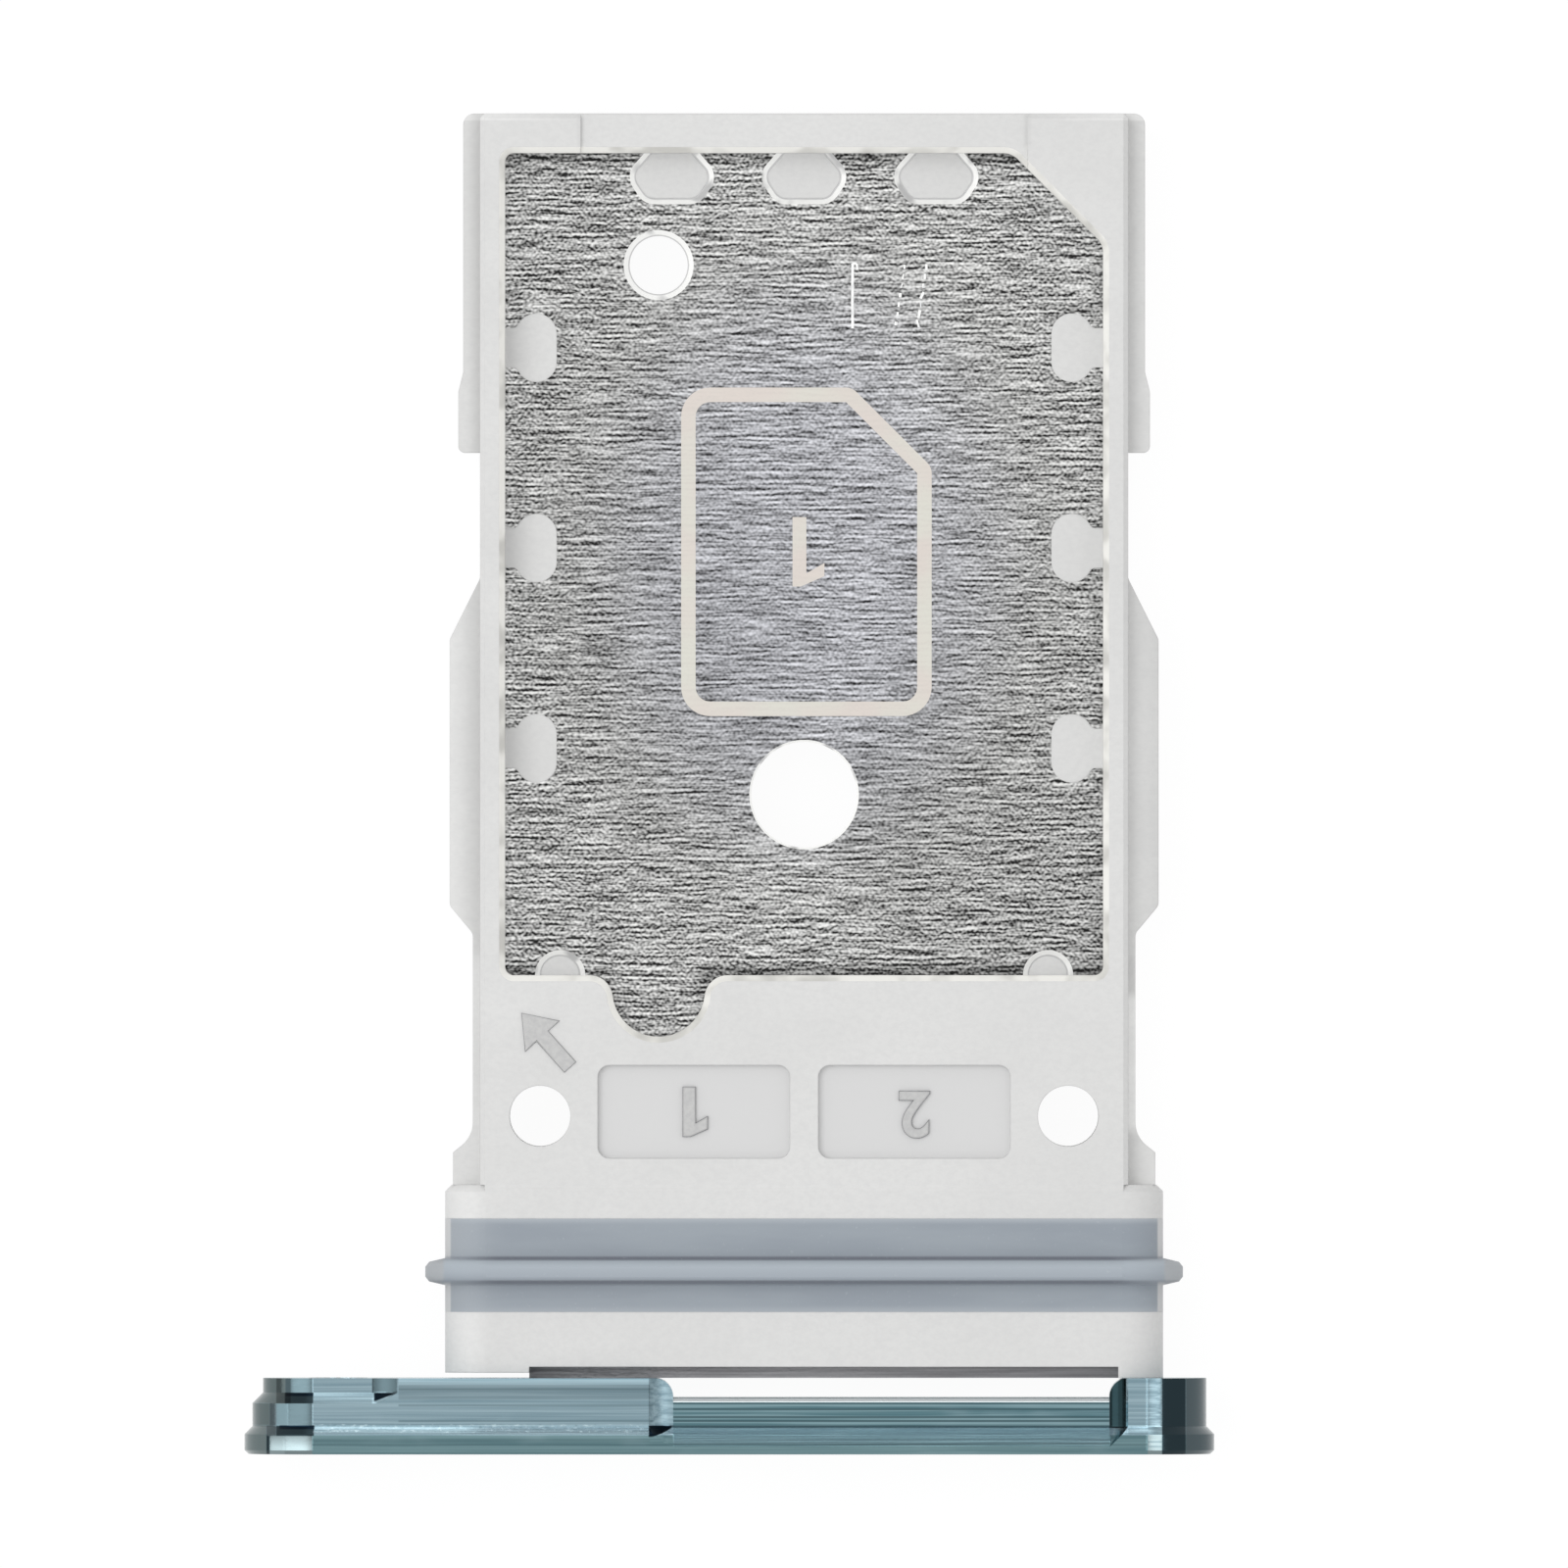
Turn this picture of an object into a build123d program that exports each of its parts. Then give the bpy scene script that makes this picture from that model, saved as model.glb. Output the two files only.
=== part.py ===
from build123d import *
import os
from math import atan2, degrees, sqrt

# Two-sided card tray of a phone, in millimetres. X runs across the tray, +Y is the way it goes into the
# phone and +Z is the face with the recessed panels. The shapes are drawn about the tray's centre line, with
# Y = 0 on the cap's outer face and Z = 0 in the middle of the plate, and are set on their origin at the end.

# Card that lies in the tray, one on each side of the plate
card_length = 12.30
card_width = 8.80
card_thickness = 0.67
card_corner_cut = 1.65

# Pocket for the card in each face of the frame
pocket_end_clearance = 0.065
pocket_side_clearance = 0.12
card_proud = 0.07
corner_cut_slack = 0.27
pocket_corner_radius = 0.13
cut_corner_radius = 0.30
pocket_mouth_chamfer = 0.09
finger_notch_radius = 0.70
finger_notch_depth = 0.93
finger_notch_offset = 2.20
finger_notch_mouth_radius = 0.35

# Steel plate between the two pockets
plate_thickness = 0.20
plate_side_cover = 0.17
plate_end_cover = 0.30
plate_bevel_width = 0.09
plate_bevel_depth = 0.05
finger_hole_radius = 0.80
finger_hole_bevel = 0.03
finger_hole_from_pocket_start = 2.73
gauge_hole_radius = 0.44
gauge_hole_bevel = 0.09
gauge_hole_offset = 2.20
gauge_hole_from_pocket_end = 1.69

# Notches in the plate's edge, filled by the plastic that locks the plate in the frame
lock_count = 3
lock_depth = 0.78
lock_head_depth = 0.62
lock_neck_width = 0.60
lock_neck_radius = 0.10
end_lock_width = 1.20
end_lock_waist = 0.34
end_lock_foot = 0.74
end_lock_depth = 0.68
end_lock_corner_radius = 0.20
end_lock_pitch = 2.00
side_lock_width = 1.04
side_lock_pitch = 3.03
side_lock_from_pocket_end = 2.94
round_lock_radius = 0.29
round_lock_inset = 0.83

# Walls of the moulded frame
side_wall = 0.38
end_wall = 0.60
apron_length = 3.17
frame_edge_bevel = 0.07
lead_in_drop = 0.05
lead_in_margin = 1.52

# Guide rails, wings and shoulders on the frame's sides, thinner than the frame
rail_drop = 0.35
rail_reach = 0.256
rail_length = 5.13
rail_corner_radius = 0.17
toe_reach = 0.33
toe_length = 0.92
toe_lead = 0.30
toe_corner_radius = 0.10
rail_to_wing = 1.90
wing_reach = 0.46
wing_lead = 0.92
wing_length = 4.03
wing_tail = 0.42
wing_bend_radius = 0.15
ledge_reach = 0.11
shoulder_reach = 0.41
shoulder_length = 0.49
shoulder_flare = 0.24
shoulder_radius = 0.45

# Locating holes and recessed panels between the pocket and the neck
locating_hole_radius = 0.459
locating_hole_inset = 0.907
locating_hole_from_neck = 1.04
panel_gap = 0.43
panel_to_hole = 0.415
panel_height = 1.41
panel_from_neck = 0.40
panel_depth = 0.10
panel_corner_radius = 0.18

# Neck that carries the seal and its foot at the cap
neck_reach = 0.53
neck_rise = 0.02
neck_corner_radius = 0.62
neck_edge_bevel = 0.10
neck_foot_land = 0.92
neck_top_land = 0.51
foot_gap = 0.082
foot_relief = 0.09
foot_pad_width = 0.68

# Silicone seal in the neck's groove
seal_length = 1.41
seal_thickness = 0.22
lip_height = 0.30
lip_root = 0.41
lip_tip = 0.27
lip_shift = 0.10
lip_tip_bevel = 0.06

# Tail of the plate and the tabs that hold the cap
tail_length = 0.75
tail_pin_side_inset = 1.274
tail_far_side_inset = 0.23
tab_length = 0.55
pin_side_tab_width = 1.75
pin_side_tab_inset = 0.04
far_side_tab_width = 0.35
tab_clearance = 0.02
tab_end_clearance = 0.06

# Machined cap
cap_over_lip = 0.025
cap_pin_side_overhang = 3.037
cap_far_side_overhang = 0.777
flange_thickness = 0.30
flange_front_chamfer = 0.06
tier_inset = 0.12
block_depth = 1.15
web_setback = 0.29
web_drop = 0.18
web_edge_bevel = 0.06
block_corner_share = 0.96
pin_side_block_grip = 3.45
far_side_block_grip = 0.815
nose_inset = 0.16
nose_length = 0.22
nose_width = 1.956
form_cutter_radius = 0.47
far_cutter_radius = 0.31

# Hole for the pin that releases the tray
pin_hole_radius = 0.45
pin_hole_inset = 1.417
pin_hole_chamfer = 0.05

# Length that every cutting shape runs past the face it opens
overshoot = 1.0

# Heights above the middle of the plate
plate_face = plate_thickness / 2
frame_face = plate_face + card_thickness - card_proud
rail_face = frame_face - rail_drop
neck_face = frame_face + neck_rise
cap_face = neck_face + lip_height + cap_over_lip
tier_face = cap_face - tier_inset
nose_face = tier_face - nose_inset
web_face = tier_face - web_drop

# Places along the tray
web_depth = block_depth - web_setback
neck_foot = block_depth + foot_gap
seal_start = neck_foot + neck_foot_land
seal_end = seal_start + seal_length
neck_top = seal_end + neck_top_land
pocket_start = neck_top + apron_length
pocket_end = pocket_start + card_length + 2 * pocket_end_clearance
frame_tip = pocket_end + end_wall

# Places across the tray
pocket_side = card_width / 2 + pocket_side_clearance
frame_side = pocket_side + side_wall
neck_side = frame_side + neck_reach
cap_pin_end = -neck_side - cap_pin_side_overhang
cap_far_end = neck_side + cap_far_side_overhang
cap_width = cap_far_end - cap_pin_end
cap_middle = (cap_pin_end + cap_far_end) / 2
plate_side = frame_side - plate_side_cover
tail_pin_side = -neck_side + tail_pin_side_inset
tail_far_side = neck_side - tail_far_side_inset
foot_pad_start = neck_side - foot_pad_width


def slab(outline, low, high):
    """Prism of a flat outline between two heights."""
    return extrude(Pos(0, 0, low) * outline, amount=high - low)


def bar(section, start, end, taper=0):
    """Prism of an upright section between two places along the tray, drawn in by a taper in degrees."""
    plane = Plane(origin=(0, start, 0), x_dir=(1, 0, 0), z_dir=(0, 1, 0))
    return extrude(plane * section, amount=end - start, taper=taper)


def block(x_range, y_range, z_range):
    """Box between two places on each axis."""
    low = (x_range[0], y_range[0], z_range[0])
    size = (x_range[1] - x_range[0], y_range[1] - y_range[0], z_range[1] - z_range[0])
    return Pos(*low) * Box(*size, align=(Align.MIN, Align.MIN, Align.MIN))


def rounded_outline(corners):
    """Flat face through the corners, each given as x, y and the radius that rounds it."""
    points = [(x, y) for x, y, radius in corners]
    radii = [radius for x, y, radius in corners]
    return make_face(FilletPolyline(*points, radius=radii, close=True))


def on_both_faces(shape):
    """The shape, and the same shape with the tray turned over about its length."""
    return [shape, Rot(0, 180, 0) * shape]


def pocket_outline():
    """Card pocket with one cut corner and a finger notch in its near edge."""
    cut = card_corner_cut - corner_cut_slack
    card_seat = rounded_outline([
        (-pocket_side, pocket_start, pocket_corner_radius),
        (pocket_side, pocket_start, pocket_corner_radius),
        (pocket_side, pocket_end - cut, cut_corner_radius),
        (pocket_side - cut, pocket_end, cut_corner_radius),
        (-pocket_side, pocket_end, pocket_corner_radius),
    ])
    notch_y = pocket_start - finger_notch_depth + finger_notch_radius
    notch = Pos(-finger_notch_offset, notch_y) * Circle(finger_notch_radius)
    outline = card_seat + notch
    mouth = [v for v in outline.vertices() if abs(v.Y - pocket_start) < 1e-6]
    mouth = [v for v in mouth if abs(v.X + finger_notch_offset) < finger_notch_radius + 1e-6]
    return fillet(mouth, finger_notch_mouth_radius)


def lock_outline(width):
    """Mushroom-shaped notch that opens upwards through the plate's edge; the pocket wall is on y = 0."""
    neck_side_x = lock_neck_width / 2
    head_radius = lock_head_depth / 2
    head_x = width / 2 - head_radius
    head_y = -lock_depth + head_radius
    reach = head_radius + lock_neck_radius
    bend_x = neck_side_x + lock_neck_radius
    bend_y = head_y + sqrt(reach ** 2 - (bend_x - head_x) ** 2)
    share = lock_neck_radius / reach
    meet = (bend_x + (head_x - bend_x) * share, bend_y + (head_y - bend_y) * share)
    half = Line((0, overshoot), (neck_side_x, overshoot))
    half += Line((neck_side_x, overshoot), (neck_side_x, bend_y))
    half += TangentArc((neck_side_x, bend_y), meet, tangent=(0, -1))
    half += ThreePointArc(meet, (head_x + head_radius, head_y), (head_x, -lock_depth))
    half += Line((head_x, -lock_depth), (0, -lock_depth))
    return make_face(half + mirror(half, Plane.YZ))


def end_lock_outline():
    """Six-sided notch with rounded corners that opens upwards through the plate's edge; the wall is on y = 0."""
    right = [
        (lock_neck_width / 2, overshoot, 0),
        (lock_neck_width / 2, 0, 0),
        (end_lock_width / 2, -end_lock_waist, end_lock_corner_radius),
        (end_lock_foot / 2, -end_lock_depth, end_lock_corner_radius),
    ]
    left = [(-x, y, radius) for x, y, radius in reversed(right)]
    return rounded_outline(right + left)


def bevelled_locks():
    """Outlines of the notches at the pocket's far end, and of the round ones at its near end."""
    middle = (lock_count - 1) / 2
    end_lock = end_lock_outline()
    far_end = [Pos((n - middle) * end_lock_pitch, pocket_end) * end_lock for n in range(lock_count)]
    round_x = pocket_side - round_lock_inset
    near_end = [Pos(x, pocket_start) * Circle(round_lock_radius) for x in (-round_x, round_x)]
    return far_end + near_end


def flush_locks():
    """Outlines of the notches along the pocket's two sides."""
    side_lock = lock_outline(side_lock_width)
    outlines = []
    for number in range(lock_count):
        y = pocket_end - side_lock_from_pocket_end - number * side_lock_pitch
        outlines.append(Pos(-pocket_side, y) * Rot(0, 0, 90) * side_lock)
        outlines.append(Pos(pocket_side, y) * Rot(0, 0, -90) * side_lock)
    return outlines


def plate_hole_places():
    """Centre, radius and edge bevel of the two holes in the card floor."""
    return [
        (0, pocket_start + finger_hole_from_pocket_start, finger_hole_radius, finger_hole_bevel),
        (-gauge_hole_offset, pocket_end - gauge_hole_from_pocket_end, gauge_hole_radius, gauge_hole_bevel),
    ]


def locating_hole_places():
    """Centres of the two holes through the plate and the frame."""
    x = frame_side - locating_hole_inset
    y = neck_top + locating_hole_from_neck
    return [(-x, y), (x, y)]


def tab_ranges():
    """Where the two tabs of the plate's tail lie across the tray."""
    pin_side = tail_pin_side + pin_side_tab_inset
    return [
        (pin_side, pin_side + pin_side_tab_width),
        (tail_far_side - far_side_tab_width, tail_far_side),
    ]


def rim_cut(outline):
    """Cutter for the flat bevel round a notch in the plate's upper face."""
    slope = degrees(atan2(plate_bevel_width, plate_bevel_depth))
    return extrude(Pos(0, 0, plate_face - plate_bevel_depth) * outline, amount=plate_bevel_depth, taper=-slope)


def make_sim_plate():
    """Stamped plate: card floor, edge notches, holes, and the tail with its tabs."""
    z_range = (-plate_face, plate_face)
    tail_top = neck_foot + tail_length
    plate_tip = frame_tip - plate_end_cover
    plate = block((-plate_side, plate_side), (tail_top, plate_tip), z_range)
    plate += block((tail_pin_side, tail_far_side), (block_depth, tail_top), z_range)
    for x_range in tab_ranges():
        plate += block(x_range, (block_depth - tab_length, block_depth), z_range)
    for outline in bevelled_locks() + flush_locks():
        plate -= slab(outline, -overshoot, overshoot)
    for outline in bevelled_locks():
        for cut in on_both_faces(rim_cut(outline)):
            plate -= cut
    for x, y, radius, bevel in plate_hole_places():
        depth = bevel * plate_bevel_depth / plate_bevel_width
        hole = Cylinder(radius, plate_thickness)
        hole += Pos(0, 0, plate_face - depth / 2) * Cone(radius, radius + bevel, depth)
        hole += Pos(0, 0, -plate_face + depth / 2) * Cone(radius + bevel, radius, depth)
        plate -= Pos(x, y) * hole
    for x, y in locating_hole_places():
        plate -= Pos(x, y) * Cylinder(locating_hole_radius, plate_thickness)
    return plate


def neck_section():
    """Upright section of the neck."""
    return RectangleRounded(2 * neck_side, 2 * neck_face, neck_corner_radius)


def make_neck_seal():
    """Ring in the neck's groove with one tapered lip all round."""
    core = offset(neck_section(), -seal_thickness)
    ring = bar(neck_section(), seal_start, seal_end)
    lip_middle = (seal_start + seal_end) / 2 - lip_shift
    lip = bar(offset(neck_section(), lip_height), lip_middle - lip_root / 2, lip_middle + lip_root / 2)
    taper = (lip_root - lip_tip) / 2
    for end in (0, -1):
        face = lip.faces().sort_by(Axis.Y)[end]
        lip = chamfer(face.edges(), lip_height, taper, reference=face)
    tip_ends = (lip_middle - lip_tip / 2, lip_middle + lip_tip / 2)
    tip_edges = [e for e in lip.edges() if min(abs(e.center().Y - y) for y in tip_ends) < 1e-6]
    lip = chamfer(tip_edges, lip_tip_bevel)
    return ring + lip - bar(core, seal_start - overshoot, seal_end + overshoot)


def rail_outline():
    """Guide rails, wings and shoulders on both sides of the frame, seen square on."""
    rail_end = frame_tip - rail_length
    wing_top = rail_end - rail_to_wing
    wing_bottom = wing_top - wing_lead - wing_length
    shoulder_top = neck_top + shoulder_length
    right = [
        (frame_side + shoulder_reach, neck_top, 0),
        (frame_side + shoulder_reach, shoulder_top, 0),
        (frame_side + ledge_reach, shoulder_top + shoulder_flare, shoulder_radius),
        (frame_side + ledge_reach, wing_bottom - wing_tail, wing_bend_radius),
        (frame_side + wing_reach, wing_bottom, wing_bend_radius),
        (frame_side + wing_reach, wing_top - wing_lead, wing_bend_radius),
        (frame_side, wing_top, wing_bend_radius),
        (frame_side, rail_end, 0),
        (frame_side + toe_reach, rail_end, toe_corner_radius),
        (frame_side + toe_reach, rail_end + toe_length, 0),
        (frame_side + rail_reach, rail_end + toe_length + toe_lead, 0),
        (frame_side + rail_reach, frame_tip, rail_corner_radius),
    ]
    left = [(-x, y, radius) for x, y, radius in reversed(right)]
    return rounded_outline(right + left)


def lead_in_range():
    """Box over the lowered stretch of the frame's tip."""
    side = frame_side - lead_in_margin
    return block((-side, side), (pocket_end - overshoot, frame_tip + overshoot), (0, frame_face + overshoot))


def pocket_cut():
    """Cutter for the card pocket in the upper face, with a bevelled mouth that follows the lowered tip."""
    outline = pocket_outline()
    mouth = extrude(outline, amount=2 * pocket_mouth_chamfer, taper=-45)
    high_mouth = Pos(0, 0, frame_face - pocket_mouth_chamfer) * mouth
    low_mouth = Pos(0, 0, -lead_in_drop) * high_mouth
    return slab(outline, plate_face, frame_face) + high_mouth + (low_mouth & lead_in_range())


def lock_recess():
    """Cutter that keeps the lock plastic a little below the plate's upper face."""
    seat = pocket_outline()
    recess = Part()
    for outline in bevelled_locks():
        shown = offset(outline, plate_bevel_width) & seat
        recess += slab(shown, plate_face - plate_bevel_depth, plate_face + plate_bevel_depth)
    return recess


def make_tray_frame(plate, seal):
    """Moulded frame round the plate, from its tip to the foot of the neck."""
    body = block((-frame_side, frame_side), (neck_top, frame_tip), (-frame_face, frame_face))
    long_edges = body.edges().filter_by(Axis.Y)
    tip_edges = body.faces().sort_by(Axis.Y)[-1].edges()
    body = chamfer(long_edges + tip_edges, frame_edge_bevel)
    rails = slab(rail_outline(), -rail_face, rail_face)
    neck = bar(neck_section(), neck_foot, neck_top)
    neck = chamfer(neck.faces().sort_by(Axis.Y)[-1].edges(), neck_edge_bevel)
    frame = body + rails + neck
    lead_in = Pos(0, 0, frame_face - lead_in_drop) * lead_in_range()
    for cut in on_both_faces(lead_in) + on_both_faces(pocket_cut()):
        frame -= cut
    frame -= plate
    frame -= seal
    for cut in on_both_faces(lock_recess()):
        frame -= cut
    for x, y, radius, bevel in plate_hole_places():
        frame -= Pos(x, y) * Cylinder(radius + bevel, 2 * frame_face)
    for x, y in locating_hole_places():
        frame -= Pos(x, y) * Cylinder(locating_hole_radius, 2 * frame_face)
    panel_side = frame_side - locating_hole_inset - locating_hole_radius - panel_to_hole
    panel_width = panel_side - panel_gap / 2
    for side in (-1, 1):
        x = side * (panel_gap / 2 + panel_width / 2)
        y = neck_top + panel_from_neck + panel_height / 2
        panel = Pos(x, y) * RectangleRounded(panel_width, panel_height, panel_corner_radius)
        frame -= slab(panel, frame_face - panel_depth, frame_face + overshoot)
    relief = block(
        (tail_pin_side, foot_pad_start),
        (neck_foot - overshoot, neck_foot + foot_relief),
        (-cap_face, cap_face),
    )
    frame -= relief
    pad = bar(neck_section(), block_depth, neck_foot)
    pad &= block((foot_pad_start, neck_side), (block_depth, neck_foot), (-cap_face, cap_face))
    return frame + (pad - plate)


def form_cut(section, shoulder, bevel):
    """Cut of a tool that turns about the insertion direction: full from its shoulder on, 45 degrees before."""
    return bar(section, shoulder, shoulder - bevel, taper=45) + bar(section, shoulder, block_depth + overshoot)


def pill(inset):
    """Upright section of the cap, drawn in all round by an inset."""
    return Pos(cap_middle, 0) * SlotOverall(cap_width - 2 * inset, 2 * (cap_face - inset))


def nose_cut():
    """What the tool takes off round the pin end, with its own round where it leaves the cap."""
    shoulder = block_depth - nose_length
    run_out = cap_pin_end + nose_width
    nose = bar(pill(tier_inset), shoulder - nose_inset, shoulder, taper=45)
    nose += bar(pill(tier_inset + nose_inset), shoulder, block_depth)
    cut = block(
        (cap_pin_end, run_out),
        (shoulder - nose_inset, block_depth),
        (-cap_face, cap_face),
    )
    cut -= nose
    for side in (-1, 1):
        tool = Pos(run_out, side * (nose_face + form_cutter_radius)) * Circle(form_cutter_radius)
        cut += form_cut(tool, shoulder, nose_inset)
    return cut


def web_section():
    """What the tool takes off above the web, with its own round at both ends."""
    left = -neck_side + pin_side_block_grip - form_cutter_radius
    right = neck_side - far_side_block_grip + far_cutter_radius
    top = web_face + form_cutter_radius + overshoot
    return rounded_outline([
        (left, web_face, form_cutter_radius),
        (right, web_face, far_cutter_radius),
        (right, top, 0),
        (left, top, 0),
    ])


def web_relief():
    """Cut behind the web, from one block to the other, that rounds the blocks' inner corners."""
    left = -neck_side + pin_side_block_grip
    right = neck_side - far_side_block_grip
    corner_radius = block_corner_share * web_setback
    outer_left = left - corner_radius - overshoot
    outer_right = right + corner_radius + overshoot
    outline = rounded_outline([
        (left, web_depth, 0),
        (right, web_depth, 0),
        (right, block_depth, corner_radius),
        (outer_right, block_depth, 0),
        (outer_right, block_depth + overshoot, 0),
        (outer_left, block_depth + overshoot, 0),
        (outer_left, block_depth, 0),
        (left, block_depth, corner_radius),
    ])
    return slab(outline, -cap_face, cap_face)


def web_edge_cut():
    """Cutter for the bevel along the web's upper rear edge."""
    left = -neck_side + pin_side_block_grip
    right = neck_side - far_side_block_grip
    side = sqrt(2) * web_edge_bevel
    return Pos((left + right) / 2, web_depth, web_face) * Rot(45, 0, 0) * Box(right - left, side, side)


def make_front_cap():
    """Machined cap: flange, bevelled step, end blocks, thin web between them and the pin's hole."""
    step_end = flange_thickness + tier_inset
    flange = bar(pill(0), 0, step_end)
    flange = chamfer(flange.faces().sort_by(Axis.Y)[0].edges(), flange_front_chamfer)
    flange = chamfer(flange.faces().sort_by(Axis.Y)[-1].edges(), tier_inset)
    cap = flange + bar(pill(tier_inset), step_end, block_depth)
    web_cut = form_cut(web_section(), step_end, cap_face - web_face)
    for cut in (nose_cut(), web_cut, mirror(web_cut, Plane.XY), web_relief()):
        cap -= cut
    for cut in (web_edge_cut(), mirror(web_edge_cut(), Plane.XY)):
        cap -= cut
    pin_x = cap_pin_end + pin_hole_inset
    cap -= bar(Pos(pin_x, 0) * Circle(pin_hole_radius), 0, block_depth)
    cap -= bar(Pos(pin_x, 0) * Circle(pin_hole_radius + pin_hole_chamfer), 0, pin_hole_chamfer, taper=45)
    for left, right in tab_ranges():
        cap -= block(
            (left - tab_end_clearance, right + tab_end_clearance),
            (block_depth - tab_length - tab_end_clearance, block_depth),
            (-plate_face - tab_clearance, plate_face + tab_clearance),
        )
    return cap


os.makedirs("parts", exist_ok=True)
sim_plate = make_sim_plate()
neck_seal = make_neck_seal()
tray_frame = make_tray_frame(sim_plate, neck_seal)
front_cap = make_front_cap()
pieces = {
    "tray_frame": tray_frame,
    "sim_plate": sim_plate,
    "neck_seal": neck_seal,
    "front_cap": front_cap,
}
for name, piece in pieces.items():
    export_step(Pos(-cap_middle, -frame_tip / 2, cap_face) * piece, f"parts/{name}.step")
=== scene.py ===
import math

import bmesh
import bpy
from mathutils import Matrix, Vector


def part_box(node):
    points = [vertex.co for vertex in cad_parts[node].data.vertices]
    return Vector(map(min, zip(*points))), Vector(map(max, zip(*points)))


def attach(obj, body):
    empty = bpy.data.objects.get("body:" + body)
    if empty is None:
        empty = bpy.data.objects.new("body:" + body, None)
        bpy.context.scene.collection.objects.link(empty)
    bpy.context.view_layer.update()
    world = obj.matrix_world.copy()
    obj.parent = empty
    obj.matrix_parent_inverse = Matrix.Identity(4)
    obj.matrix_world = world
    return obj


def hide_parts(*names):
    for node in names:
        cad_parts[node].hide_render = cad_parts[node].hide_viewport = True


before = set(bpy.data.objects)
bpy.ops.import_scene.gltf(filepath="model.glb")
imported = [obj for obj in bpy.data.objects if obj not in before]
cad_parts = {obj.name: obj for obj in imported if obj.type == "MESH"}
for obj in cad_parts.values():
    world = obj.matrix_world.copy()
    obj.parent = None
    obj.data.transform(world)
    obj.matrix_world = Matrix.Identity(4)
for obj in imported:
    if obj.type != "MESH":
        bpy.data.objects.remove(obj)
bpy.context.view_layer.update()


# Tray frame
# One shot of white plastic, moulded round the steel plate, with fine matt faces. It has the card pocket, the
# guide rails and wings, two recessed panels, and the neck that carries the seal.
# Light and shade on its wings, ledges, neck, shoulders, steps and far end, and a highlight on the bevel round
# the pocket, are painted into its colour.

MM = 0.001
skin_merge = 0.0002 * MM
flat_angle = math.radians(0.3)
frame_crease = math.radians(34)
frame_low, frame_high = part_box("tray_frame")
tray_middle = (frame_low.x + frame_high.x) / 2
frame_top = 1.745 * MM
pocket_half_width = 4.52 * MM
pocket_near = -2.894 * MM
pocket_far = frame_high.y - 0.60 * MM
notch_depth = 0.93 * MM
panel_floor = frame_top - 0.10 * MM
panel_near = -5.75 * MM
panel_far = -4.20 * MM
body_half_width = 4.90 * MM
neck_far = -6.064 * MM
neck_rise = 0.02 * MM
neck_bevel = 0.10 * MM
body_bevel = 0.07 * MM
lead_in_half_width = 3.38 * MM
rail_face = 1.395 * MM
wing_near = -2.6 * MM
wing_far = 3.1 * MM
wing_reach = 0.46 * MM
ledge_near = -5.25 * MM
ledge_far = -3.2 * MM
edge_radius = 0.03 * MM
fade = 0.1 * MM
hair_line = 0.02 * MM
rim_reach = 0.12 * MM
rim_foot = 1.57 * MM
rim_clear = 1.60 * MM
neck_light_start = -4.7 * MM
neck_light_full = -5.2 * MM
shoulder_reach = 0.22 * MM
step_half_width = 0.05 * MM
step_fade = 0.15 * MM
tip_bevel_start = frame_high.y - 0.12 * MM
tip_bevel_full = frame_high.y - 0.09 * MM
# Levels of the painted light and shade on the wings, ledges, neck, shoulders, step and far edge
left_wing_tones = (1.07, 0.88)
right_wing_tones = (1.05, 0.88)
ledge_tone = 1.24
neck_tone = 1.10
shoulder_tones = (1.0, 0.84)
step_tone = 0.94
tip_tone = 1.14
level_normal = 0.9999


def screen_colour(red, green, blue):
    """Linear colour of a surface that shows as these values of 0 to 255 on a screen."""
    linear = []
    for value in (red, green, blue):
        share = value / 255
        linear.append(share / 12.92 if share < 0.04045 else ((share + 0.055) / 1.055) ** 2.4)
    return (*linear, 1.0)


def linked(name, data):
    """New object in the scene, made of the given data."""
    made = bpy.data.objects.new(name, data)
    bpy.context.scene.collection.objects.link(made)
    return made


def smooth_copy(node, name, crease):
    """Copy of a CAD node as one joined skin, smooth up to a crease angle, that stands for the node.

    Level faces keep their own normals, so that a round beside them doesn't bend their reflections.
    """
    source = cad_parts[node].data
    mesh = bpy.data.meshes.new(name)
    corners = [vertex.co for vertex in source.vertices]
    mesh.from_pydata(corners, [], [tuple(face.vertices) for face in source.polygons])
    skin = bmesh.new()
    skin.from_mesh(mesh)
    bmesh.ops.remove_doubles(skin, verts=skin.verts, dist=skin_merge)
    bmesh.ops.dissolve_degenerate(skin, edges=skin.edges, dist=skin_merge)
    skin.normal_update()
    sloped = [face for face in skin.faces if abs(face.normal.z) < level_normal]
    bmesh.ops.join_triangles(
        skin, faces=sloped, angle_face_threshold=flat_angle, angle_shape_threshold=math.pi
    )
    skin.normal_update()
    for face in skin.faces:
        face.smooth = True
    for edge in skin.edges:
        level = [abs(face.normal.z) > level_normal for face in edge.link_faces]
        edge.smooth = len(set(level)) == 1 and edge.calc_face_angle(0.0) < crease
    skin.to_mesh(mesh)
    skin.free()
    piece = linked(name, mesh)
    even = piece.modifiers.new("even_flats", "WEIGHTED_NORMAL")
    even.mode = "FACE_AREA"
    even.keep_sharp = True
    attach(piece, "root")
    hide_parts(node)
    return piece


def new_finish(name):
    """New material with its node tree and its surface shader."""
    material = bpy.data.materials.new(name)
    material.use_nodes = True
    tree = material.node_tree
    return material, tree, tree.nodes["Principled BSDF"]


def set_inputs(tree, node, inputs):
    """Sets each input of a node to a value, or joins it to another node."""
    for socket, value in inputs.items():
        if isinstance(value, bpy.types.NodeSocket):
            tree.links.new(value, node.inputs[socket])
        else:
            node.inputs[socket].default_value = value


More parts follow.
